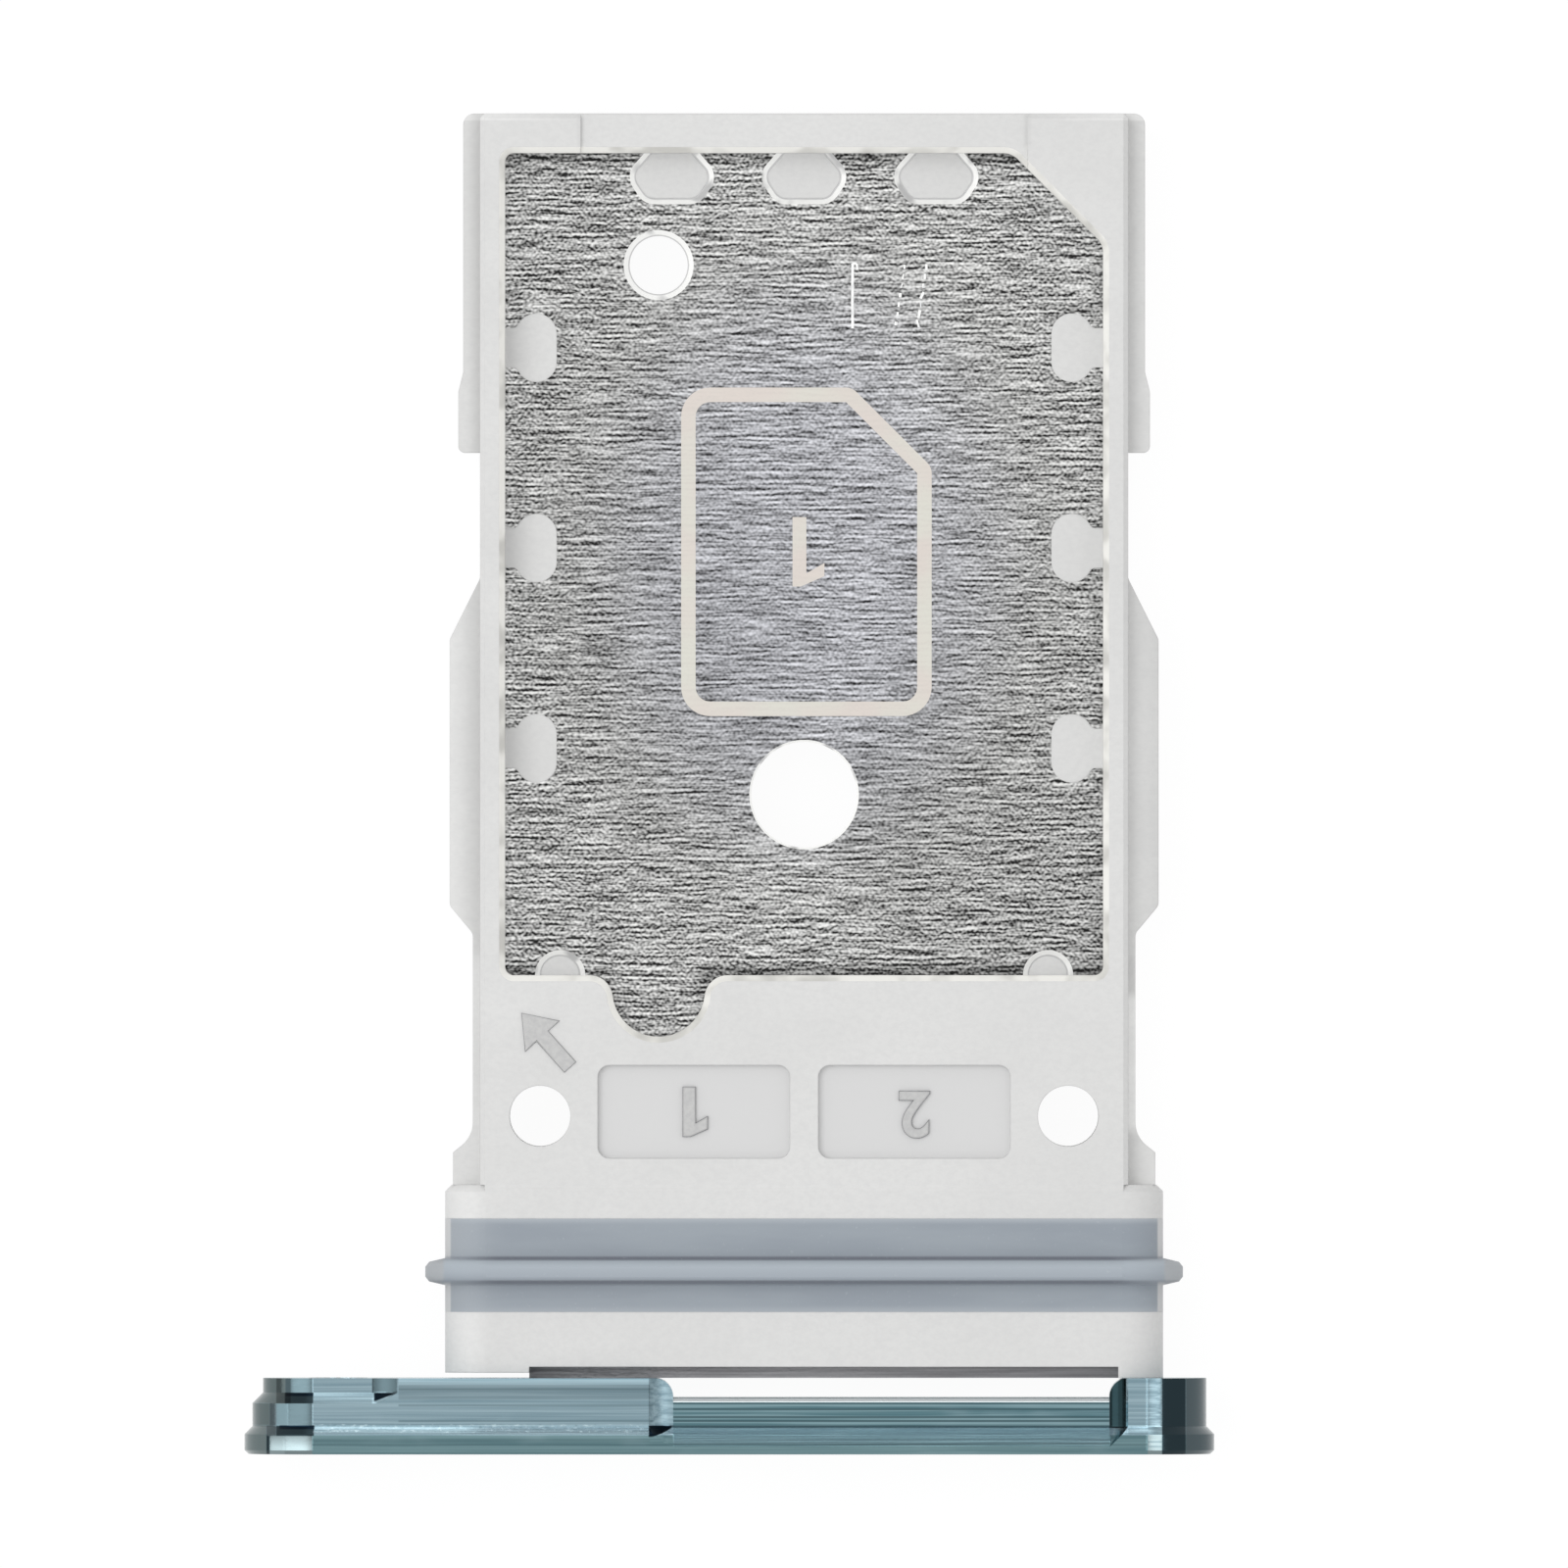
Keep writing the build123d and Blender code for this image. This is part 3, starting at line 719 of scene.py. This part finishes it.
burr = burr_steel()
whole_place = Matrix.Translation((whole_stroke_x, stroke_middle_y, plate_top + stroke_height / 4))
whole_stroke = mesh_piece("stamped_stroke_whole", hooked_stroke(), whole_place, burr)
for number, (x, gap_share, seed) in enumerate(broken_strokes):
    stroke_piece(f"stamped_stroke_broken_{number + 1}", x, gap_share, seed, burr)


# Panel numbers
# Plain cavity numbers of the mould, standing up from the floors of the two recessed panels. They are part of
# the frame's plastic, and their soft edges carry speckled painted shade.

panel_centre_y = -4.959 * MM
panel_offset = 1.667 * MM
number_height = 0.70 * MM
number_rise = 0.055 * MM
number_bevel = 0.030 * MM
number_sink = 0.02 * MM


def edge_shaded_plastic():
    """White plastic whose steep edges carry speckled painted shade."""
    material, tree, shader = new_finish("edge_shaded_plastic")
    place = place_on(tree)
    specks = grain(tree, place, (0.07, 0.07, 0.07), 2.0)
    steep = from_range(tree, axes(tree, facing(tree))[2], 0.98, 0.7)
    # Painted shade on the steep edges of the raised figures, broken up by specks
    dust_and_edge_shade = both(tree, steep, from_range(tree, specks, 0.2, 0.7, 0.55, 1.0))
    face = shades(tree, specks, 0.3, 0.7, (190, 190, 190), (200, 200, 199))
    colour = mixed(tree, dust_and_edge_shade, face, screen_colour(122, 123, 126))
    set_inputs(tree, shader, {"Base Color": colour, "Roughness": 0.55})
    relief(tree, shader, specks, depth=0.002)
    return material


def figure_two(height, thickness, bevel):
    """Plain figure two."""
    cap_share = 0.729
    shape = bpy.data.curves.new("figure_two", "FONT")
    shape.body = "2"
    shape.size = height / cap_share
    shape.align_x = "CENTER"
    shape.align_y = "CENTER"
    shape.extrude = thickness / 2 - bevel
    shape.bevel_depth = bevel
    shape.bevel_resolution = 1
    return shape


edge_shaded = edge_shaded_plastic()
number_thickness = number_rise + number_sink
number_middle = panel_floor + (number_rise - number_sink) / 2
panel_figures = [
    figure_one(number_height, number_thickness, number_bevel),
    figure_two(number_height, number_thickness, number_bevel),
]
for side, figure in zip((-1, 1), panel_figures):
    middle = Vector((tray_middle + side * panel_offset, panel_centre_y, number_middle))
    panel_number = mesh_piece("moulded_" + figure.name, figure, Matrix.Translation(middle) @ half_turn, edge_shaded)


# Way-in arrow
# Small arrow beside the finger notch that points to the end that goes in first. It stands up from the frame,
# moulded in the same white plastic, and its soft edges carry painted shade as the numbers do.

arrow_length = 1.05 * MM
arrow_head = 0.42 * MM
arrow_width = 0.62 * MM
arrow_shaft = 0.20 * MM
arrow_middle = Vector((-2.77 * MM, -3.88 * MM, frame_top))
arrow_turn = Matrix.Rotation(math.radians(42), 4, "Z")
arrow_rise = 0.03 * MM
arrow_bevel = 0.022 * MM

arrow_tip = arrow_length / 2
arrow_neck = arrow_tip - arrow_head
arrow_right = [
    (0, arrow_tip),
    (arrow_width / 2, arrow_neck),
    (arrow_shaft / 2, arrow_neck),
    (arrow_shaft / 2, -arrow_tip),
]
arrow_left = [(-x, y) for x, y in reversed(arrow_right[1:])]
arrow = outline_shape("arrow", arrow_right + arrow_left, 2 * arrow_rise, arrow_bevel)
way_in_arrow = mesh_piece("moulded_arrow", arrow, Matrix.Translation(arrow_middle) @ arrow_turn, edge_shaded)


# Neck seal
# Ring of grey-blue silicone with one lip all round, stretched into the neck's groove. It is matt and a little
# see-through, and fine dust sits on it. Light on its left end and edges and shade at the roots of its lip
# are painted.

seal_crease = math.radians(40)
seal_low, seal_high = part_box("neck_seal")
seal_far = seal_high.y
seal_near = seal_low.y
lip_near = -7.535 * MM
lip_far = -7.175 * MM
neck_half_width = 5.42 * MM
left_light_start = -4.4 * MM
left_light_full = -5.3 * MM
far_rim = 0.10 * MM
near_rim = 0.12 * MM
turn_start = neck_half_width - 0.09 * MM
turn_full = neck_half_width - 0.06 * MM
lip_edge = 0.06 * MM
root_half_width = 0.03 * MM
root_edge = 0.04 * MM
root_fade_start = neck_half_width - 0.9 * MM
root_fade_end = neck_half_width - 0.1 * MM


def silicone():
    """Matt grey-blue silicone with a soft bloom, fine dust, and painted light and shade."""
    material, tree, shader = new_finish("grey_silicone")
    place = place_on(tree)
    bloom = grain(tree, place, (2.6, 0.5, 0.6), 3.0)
    dust_and_edge_shade = grain(tree, place, (0.05, 0.05, 0.05), 1.0)
    band = shades(tree, bloom, 0.3, 0.7, (150, 158, 167), (158, 166, 174))
    across, along, up = axes(tree, place)
    from_middle = sums(tree, "SUBTRACT", across, tray_middle)
    out = sums(tree, "ABSOLUTE", from_middle)
    # Painted light on the band's left end
    left_end_light = from_range(tree, from_middle, left_light_start, left_light_full, 0.0, 0.6)
    body = mixed(tree, left_end_light, band, screen_colour(172, 178, 184))
    # Painted light along the band's far and near edges
    far_edge = from_range(tree, along, seal_far - far_rim, seal_far)
    body = mixed(tree, far_edge, body, screen_colour(172, 179, 186))
    near_edge = from_range(tree, along, seal_near + near_rim, seal_near)
    body = mixed(tree, near_edge, body, screen_colour(168, 175, 182))
    turned = from_range(tree, out, turn_start, turn_full)
    body = mixed(tree, turned, body, screen_colour(206, 207, 208))
    lip = shades(tree, along, lip_near, lip_far, (160, 168, 177), (176, 185, 193))
    body = mixed(tree, between(tree, along, lip_near, lip_far, lip_edge), body, lip)
    past_neck = from_range(tree, out, neck_half_width, neck_half_width + lip_edge)
    body = mixed(tree, past_neck, body, screen_colour(174, 178, 182))
    # Painted shade in the creases at the roots of the lip, fading towards its ends
    root_depth = from_range(tree, out, root_fade_start, root_fade_end, 1.0, 0.4)
    for root in (lip_near, lip_far):
        in_root = between(tree, along, root - root_half_width, root + root_half_width, root_edge)
        body = mixed(tree, both(tree, in_root, root_depth), body, screen_colour(116, 121, 131))
    colour = mixed(tree, from_range(tree, dust_and_edge_shade, 0.66, 0.85, 0.0, 0.3), body, screen_colour(190, 196, 200))
    rough = from_range(tree, bloom, 0.2, 0.8, 0.5, 0.68)
    set_inputs(tree, shader, {"Base Color": colour, "Roughness": rough, "IOR": 1.41})
    set_inputs(tree, shader, {"Sheen Weight": 0.08, "Sheen Roughness": 0.5})
    relief(tree, shader, dust_and_edge_shade, depth=0.0012)
    return material


neck_seal = smooth_copy("neck_seal", "silicone_seal", seal_crease)
neck_seal.data.materials.append(silicone())


# Front cap
# Machined aluminium, anodised teal. The cutter leaves fine lines along the cap, and the tray's tabs are
# pressed into slots behind it. The shade of the cutter's lines, the reflections and shade on its ends, slopes
# and cuts, and the paler bases under its lamp glints are painted into its colour.

cap_crease = math.radians(30)
cap_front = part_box("front_cap")[0].y
# Places on the cap, in millimetres across the tray and behind the cap's front
past_left = -7.40
past_right = 7.40
web_start = -0.85
web_end = 5.745
web_edge = 0.03 * MM
web_span = (web_start, web_end)
step_span = (-6.29, -1.20)
tier_span = (-5.00, -1.20)
left_glint = (-6.95, -6.305)
right_glint = (6.325, 6.54)
right_block = (5.98, 6.325)
web_run_out = (-1.22, web_start)
nose_run_out = (-5.37, -5.03)
flange_depth = 0.30
flange_band = (-0.10, flange_depth)
low_band = (0.44, 0.77)
nose_band = (0.77, 0.93)
high_band = (0.77, 1.16)
top_band = (0.44, 1.16)
whole_depth = (-0.10, 1.20)
web_front_band = (0.15, 0.43)
scribed_band = (0.135, 0.158)
web_lines = (0.425, 0.504, 0.563, 0.681, 0.772)
block_lines = (0.504, 0.741, 0.985)
glint_lines = (0.12, 0.19)
line_half_width = 0.015
fine_line_half_width = 0.010
# Where the cutter ran out, and the middle of its round across and above the cap
run_outs = (
    ((-1.215, -0.86), top_band, web_start, 2.42),
    (web_run_out, (0.10, 0.30), web_start, 40.0),
    ((5.76, 6.015), top_band, web_end, 2.10),
    (nose_run_out, (0.95, 1.16), -5.38, 2.45),
)
# Stretches and slopes with painted light and shade, as a level at their front and at their rear edge
toned_stretches = (
    (step_span, (0.305, 0.444), 0.48, 1.40),
    (step_span, (0.19, 0.305), 0.86, 1.22),
    ((-6.29, -5.40), nose_band, 0.56, 1.02),
    (tier_span, (0.83, 1.05), 0.80, 0.80),
    (tier_span, (1.05, 1.16), 1.00, 1.60),
    (web_run_out, top_band, 0.78, 0.78),
    ((-6.665, -6.305), low_band, 0.80, 0.80),
    ((-6.63, -6.305), high_band, 0.95, 0.95),
    ((-6.85, -6.665), low_band, 1.35, 1.35),
    ((-6.85, -6.63), high_band, 0.47, 0.47),
    (left_glint, (0.10, 0.30), 1.00, 0.40),
    ((-6.95, -6.72), flange_band, 1.15, 1.15),
    ((-6.72, -6.305), flange_band, 0.90, 0.90),
    (web_span, (0.15, 0.40), 0.40, 2.30),
    (right_glint, (0.43, 1.16), 0.50, 0.50),
    (right_block, top_band, 1.04, 1.04),
    (right_block, (0.305, 0.44), 0.60, 1.75),
)
toned_slopes = (
    (web_run_out, (0.30, 0.44), 1.80, 2.20),
    ((5.75, 6.03), (0.10, 0.44), 1.50, 1.20),
)
# Shaded corners of the cuts, each with the bulge of its edge
black_corners = (
    (nose_run_out, (0.80, 0.93), 1.0),
    ((-1.22, -0.84), (0.26, 0.44), 1.6),
)
satin_stretches = (
    (web_run_out, top_band),
    (nose_run_out, (0.95, 1.16)),
    (web_span, (0.78, 0.92)),
)


def stretch_of_cap(tree, place, across_range, deep_range, bulge=None, sloped=False):
    """One on a stretch of the cap's upper side, on its rear left half or on its slopes, and zero elsewhere.

    The stretch is given in millimetres across the cap and behind its front. A bulge of one cuts the half off
    straight, and more rounds it outwards.
    """
    across, along, up = axes(tree, place)
    tilt = axes(tree, facing(tree))[2]
    left, right = (value * MM for value in across_range)
    start, end = (cap_front + deep * MM for deep in deep_range)
    share = between(tree, across, left, right, hair_line)
    share = both(tree, share, between(tree, along, start, end, hair_line))
    share = both(tree, share, from_range(tree, tilt, 0.02, 0.06))
    if sloped:
        share = both(tree, share, from_range(tree, tilt, 0.999, 0.99))
    if bulge:
        rightwards = sums(tree, "POWER", from_range(tree, across, left, right), bulge)
        forwards = sums(tree, "POWER", from_range(tree, along, end, start), bulge)
        past_cut = sums(tree, "ADD", rightwards, forwards)
        share = both(tree, share, from_range(tree, past_cut, 1.05, 0.95))
    return share


def tone_on_cap(tree, place, colour, across_range, deep_range, front, rear, sloped=False):
    """Paints light and shade on a stretch of the cap, by a level that runs from its front to its rear edge.
    """
    start, end = (cap_front + deep * MM for deep in deep_range)
    along = axes(tree, place)[1]
    limits = {"Value": along, "From Min": start, "From Max": end, "To Min": front, "To Max": rear}
    level = add_node(tree, "ShaderNodeMapRange", limits).outputs[0]
    share = stretch_of_cap(tree, place, across_range, deep_range, sloped=sloped)
    return mixed(tree, share, colour, level, "MULTIPLY")


def cutter_rounds(tree, place):
    """Normals of the cap, true to the round of the cutter where it ran out."""
    across, along, up = axes(tree, place)
    normal = add_node(tree, "ShaderNodeNewGeometry", {}).outputs["Normal"]
    for across_range, deep_range, centre_x, centre_z in run_outs:
        sideways = sums(tree, "SUBTRACT", centre_x * MM, across)
        upwards = sums(tree, "SUBTRACT", centre_z * MM, up)
        inward = add_node(tree, "ShaderNodeCombineXYZ", {0: sideways, 2: upwards}).outputs[0]
        round_normal = add_node(tree, "ShaderNodeVectorMath", {0: inward}, operation="NORMALIZE").outputs[0]
        share = stretch_of_cap(tree, place, across_range, deep_range)
        turned = {0: share, 4: normal, 5: round_normal}
        normal = add_node(tree, "ShaderNodeMix", turned, data_type="VECTOR").outputs[1]
    return normal


def lined(tree, place, colour, across_range, depths, half_width, strength):
    """Paints the cutter's fine lines as dark shade along a stretch of the cap, at given depths behind its
    front.
    """
    line = screen_colour(58, 84, 91)
    for deep in depths:
        cut = stretch_of_cap(tree, place, across_range, (deep - half_width, deep + half_width))
        colour = mixed(tree, sums(tree, "MULTIPLY", cut, strength), colour, line)
    return colour


def teal_by_face(tree, place, marks):
    """Teal of the blocks, the web and the flange, each with its own share of the cutter's marks."""
    across, along, up = axes(tree, place)
    block = shades(tree, marks, 0.3, 0.7, (116, 140, 150), (149, 172, 181))
    web = shades(tree, marks, 0.35, 0.6, (82, 114, 122), (126, 154, 161))
    in_web = between(tree, across, web_start * MM, web_end * MM, web_edge)
    colour = mixed(tree, in_web, block, web)
    flange = shades(tree, marks, 0.3, 0.7, (86, 114, 120), (114, 142, 147))
    flange_edge = cap_front + flange_depth * MM
    on_flange = from_range(tree, along, flange_edge, flange_edge - hair_line)
    colour = mixed(tree, on_flange, colour, flange)
    web_front = shades(tree, marks, 0.3, 0.7, (106, 135, 143), (132, 162, 170))
    start, end = (cap_front + deep * MM for deep in web_front_band)
    in_front = between(tree, along, start, end, hair_line)
    colour = mixed(tree, both(tree, in_web, in_front), colour, web_front)
    start, end = (cap_front + deep * MM for deep in scribed_band)
    scribed = between(tree, along, start, end, hair_line / 2)
    return mixed(tree, sums(tree, "MULTIPLY", scribed, 0.4), colour, screen_colour(60, 84, 90))


def painted_reflections_and_shade(tree, place, colour):
    """Painted reflections, highlights and shade, greys to near blacks, on the cap's ends, cuts and web's rear
    edge.
    """
    pale = screen_colour(228, 232, 233)
    painted_glint_base = screen_colour(120, 134, 137)
    grey = screen_colour(103, 115, 116)
    ash = screen_colour(96, 108, 109)
    far = screen_colour(84, 95, 97)
    shade = screen_colour(76, 87, 91)
    dim = screen_colour(72, 87, 92)
    dusk = screen_colour(39, 51, 56)
    black = screen_colour(12, 24, 34)
    wall = screen_colour(24, 37, 40)
    # Painted reflections, highlights and shade, each laid over one stretch of the cap
    for paint, across_range, deep_range in (
        (far, web_span, (0.85, 0.90)),
        (pale, web_span, (0.79, 0.85)),
        (painted_glint_base, left_glint, flange_band),
        (painted_glint_base, right_glint, flange_band),
        (dim, left_glint, (0.44, 1.20)),
        (dim, (-5.40, -5.02), (0.93, 1.20)),
        (dusk, (-7.00, -6.95), flange_band),
        (shade, (-6.95, -6.85), low_band),
        (grey, (past_left, -7.00), (-0.10, 0.44)),
        (shade, (-7.00, -6.85), (0.28, 0.44)),
        (ash, (past_left, -6.95), low_band),
        (ash, (past_left, -6.71), (0.77, 1.20)),
        (dusk, (-6.85, -6.28), (0.28, 0.44)),
        (black, (-6.80, -6.27), (0.38, 0.44)),
        (dusk, (-6.72, -6.29), nose_band),
        (black, (-6.71, -6.29), (0.88, 0.93)),
        (wall, (web_end, 6.00), (0.40, 1.20)),
        (dusk, (6.54, 6.90), whole_depth),
        (shade, (6.90, past_right), whole_depth),
    ):
        colour = mixed(tree, stretch_of_cap(tree, place, across_range, deep_range), colour, paint)
    for across_range, deep_range, front, rear in toned_stretches:
        colour = tone_on_cap(tree, place, colour, across_range, deep_range, front, rear)
    for across_range, deep_range, front, rear in toned_slopes:
        colour = tone_on_cap(tree, place, colour, across_range, deep_range, front, rear, sloped=True)
    for across_range, deep_range, bulge in black_corners:
        shadow = stretch_of_cap(tree, place, across_range, deep_range, bulge)
        colour = mixed(tree, shadow, colour, black)
    return colour


def scuffed_step(tree, place, colour):
    """Adds small bright and dark scuffs to the edge of the long step."""
    scuffs = grain(tree, place, (0.10, 0.04, 0.06), 2.0)
    on_step = stretch_of_cap(tree, place, (-6.29, -1.25), (0.33, 0.46))
    bright = both(tree, on_step, from_range(tree, scuffs, 0.55, 0.72, 0.0, 0.45))
    colour = mixed(tree, bright, colour, screen_colour(205, 224, 230))
    dark = both(tree, on_step, from_range(tree, scuffs, 0.42, 0.30, 0.0, 0.4))
    return mixed(tree, dark, colour, screen_colour(96, 124, 132))


def anodised_teal():
    """Satin teal anodising over fine cutter lines, greener in the web, with painted reflections and corner
    shade.
    """
    material, tree, shader = new_finish("anodised_teal")
    place = place_on(tree)
    hair = grain(tree, place, (2.2, 0.022, 0.022), 1.0)
    lines = grain(tree, place, (7.0, 0.06, 0.06), 0.0, (4.0, 2.0, 0.0))
    cloud = grain(tree, place, (1.2, 0.5, 0.5), 2.0)
    marks = sums(tree, "ADD", sums(tree, "MULTIPLY", hair, 0.5), sums(tree, "MULTIPLY", lines, 0.5))
    colour = teal_by_face(tree, place, marks)
    cloudy = from_range(tree, cloud, 0.55, 0.75, 0.0, 0.2)
    colour = mixed(tree, cloudy, colour, screen_colour(150, 172, 180))
    colour = lined(tree, place, colour, web_span, web_lines, line_half_width, 0.85)
    colour = lined(tree, place, colour, (-5.0, web_start - 0.3), block_lines, line_half_width, 0.4)
    colour = painted_reflections_and_shade(tree, place, colour)
    colour = scuffed_step(tree, place, colour)
    colour = lined(tree, place, colour, right_glint, glint_lines, fine_line_half_width, 0.5)
    satin = from_range(tree, marks, 0.3, 0.7, 0.2, 0.12)
    for across_range, deep_range in satin_stretches:
        satin = from_range(tree, stretch_of_cap(tree, place, across_range, deep_range), 0.0, 1.0, satin, 0.4)
    set_inputs(tree, shader, {"Base Color": colour, "Metallic": 1.0, "Roughness": satin})
    bump = relief(tree, shader, marks, depth=0.0015)
    set_inputs(tree, bump, {"Normal": cutter_rounds(tree, place)})
    return material


front_cap = smooth_copy("front_cap", "anodised_cap", cap_crease)
front_cap.data.materials.append(anodised_teal())


# Studio
# A pale table under the tray in a white room, one large soft lamp on the left, and three more that only put
# glints on the anodised cap. The camera looks straight down.

photo_pixels = 1600
photo_scale = 67.5
camera_lens = 1500.0
camera_sensor = 36.0
camera_middle = Vector((0.826 * MM, -0.003 * MM, frame_top))
camera_distance = photo_pixels / photo_scale * MM * camera_lens / camera_sensor
floor_half = 2.0
table_glow = 0.95
table_tint = (0.07, 0.07, 0.07, 1.0)
table_bounce = (0.75, 0.75, 0.75, 1.0)
room_level = 0.80


def seen_share(tree):
    """One for rays from the camera, from a reflection or through glass, and zero for the light itself."""
    path = add_node(tree, "ShaderNodeLightPath", {}).outputs
    mirrored = sums(tree, "MAXIMUM", path["Is Glossy Ray"], path["Is Transmission Ray"])
    return sums(tree, "MAXIMUM", path["Is Camera Ray"], mirrored)


def flat_piece(name, corners):
    """Flat four-cornered sheet for the studio."""
    mesh = bpy.data.meshes.new(name)
    mesh.from_pydata(corners, [], [(0, 1, 2, 3)])
    piece = linked(name, mesh)
    return piece


def table_surface():
    """White to the eye, with the tray's shadow on it, and clear from below."""
    material, tree, shader = new_finish("table_white")
    tree.nodes.remove(shader)
    result = tree.nodes["Material Output"]
    shadowed = add_node(tree, "ShaderNodeBsdfDiffuse", {"Color": table_tint})
    glow = add_node(tree, "ShaderNodeEmission", {"Color": (1.0, 1.0, 1.0, 1.0), "Strength": table_glow})
    seen = add_node(tree, "ShaderNodeAddShader", {0: shadowed.outputs[0], 1: glow.outputs[0]})
    bounce = add_node(tree, "ShaderNodeBsdfDiffuse", {"Color": table_bounce})
    looks = {0: seen_share(tree), 1: bounce.outputs[0], 2: seen.outputs[0]}
    face = add_node(tree, "ShaderNodeMixShader", looks)
    clear = add_node(tree, "ShaderNodeBsdfTransparent", {})
    below = add_node(tree, "ShaderNodeNewGeometry", {}).outputs["Backfacing"]
    either = add_node(tree, "ShaderNodeMixShader", {0: below, 1: face.outputs[0], 2: clear.outputs[0]})
    set_inputs(tree, result, {0: either.outputs[0]})
    return material


def soft_lamp(name, place, width, height, level):
    """Lamp with a flat face of the given size and brightness that looks at the tray."""
    lamp = bpy.data.lights.new(name, "AREA")
    lamp.shape = "RECTANGLE"
    lamp.size = width
    lamp.size_y = height
    lamp.energy = level * math.pi * width * height
    holder = linked(name, lamp)
    holder.location = place
    holder.rotation_euler = (-Vector(place)).to_track_quat("-Z", "Y").to_euler()
    holder.visible_camera = False
    return holder


table = flat_piece("table", [
    (-floor_half, -floor_half, 0),
    (floor_half, -floor_half, 0),
    (floor_half, floor_half, 0),
    (-floor_half, floor_half, 0),
])
table.data.materials.append(table_surface())
soft_lamp("left_lamp", (-0.095, 0.03, 0.18), width=0.14, height=0.14, level=1.8)
glint_lamps = [
    soft_lamp("left_glint", (-0.108, 0.0, 0.104), width=0.10, height=0.18, level=1.7),
    soft_lamp("far_glint", (0.0, 0.30, 0.045), width=0.09, height=0.09, level=1.2),
    soft_lamp("right_glint", (0.075, 0.0, 0.185), width=0.10, height=0.06, level=2.6),
]
glint_takers = bpy.data.collections.new("glint_takers")
glint_takers.objects.link(front_cap)
for lamp in glint_lamps:
    lamp.light_linking.receiver_collection = glint_takers

room = bpy.data.worlds.new("white_room")
room.use_nodes = True
room.node_tree.nodes.clear()
white_seen = add_node(room.node_tree, "ShaderNodeBackground", {0: (1.0, 1.0, 1.0, 1.0), 1: 1.0})
white_light = add_node(room.node_tree, "ShaderNodeBackground", {0: (1.0, 1.0, 1.0, 1.0), 1: room_level})
room_looks = {0: seen_share(room.node_tree), 1: white_light.outputs[0], 2: white_seen.outputs[0]}
room_mix = add_node(room.node_tree, "ShaderNodeMixShader", room_looks)
add_node(room.node_tree, "ShaderNodeOutputWorld", {0: room_mix.outputs[0]})
bpy.context.scene.world = room

eye = bpy.data.cameras.new("photo_camera")
eye.lens = camera_lens
eye.sensor_width = camera_sensor
camera = linked("photo_camera", eye)
camera.location = camera_middle + Vector((0, 0, camera_distance))
bpy.context.scene.camera = camera
bpy.context.scene.view_settings.view_transform = "Standard"
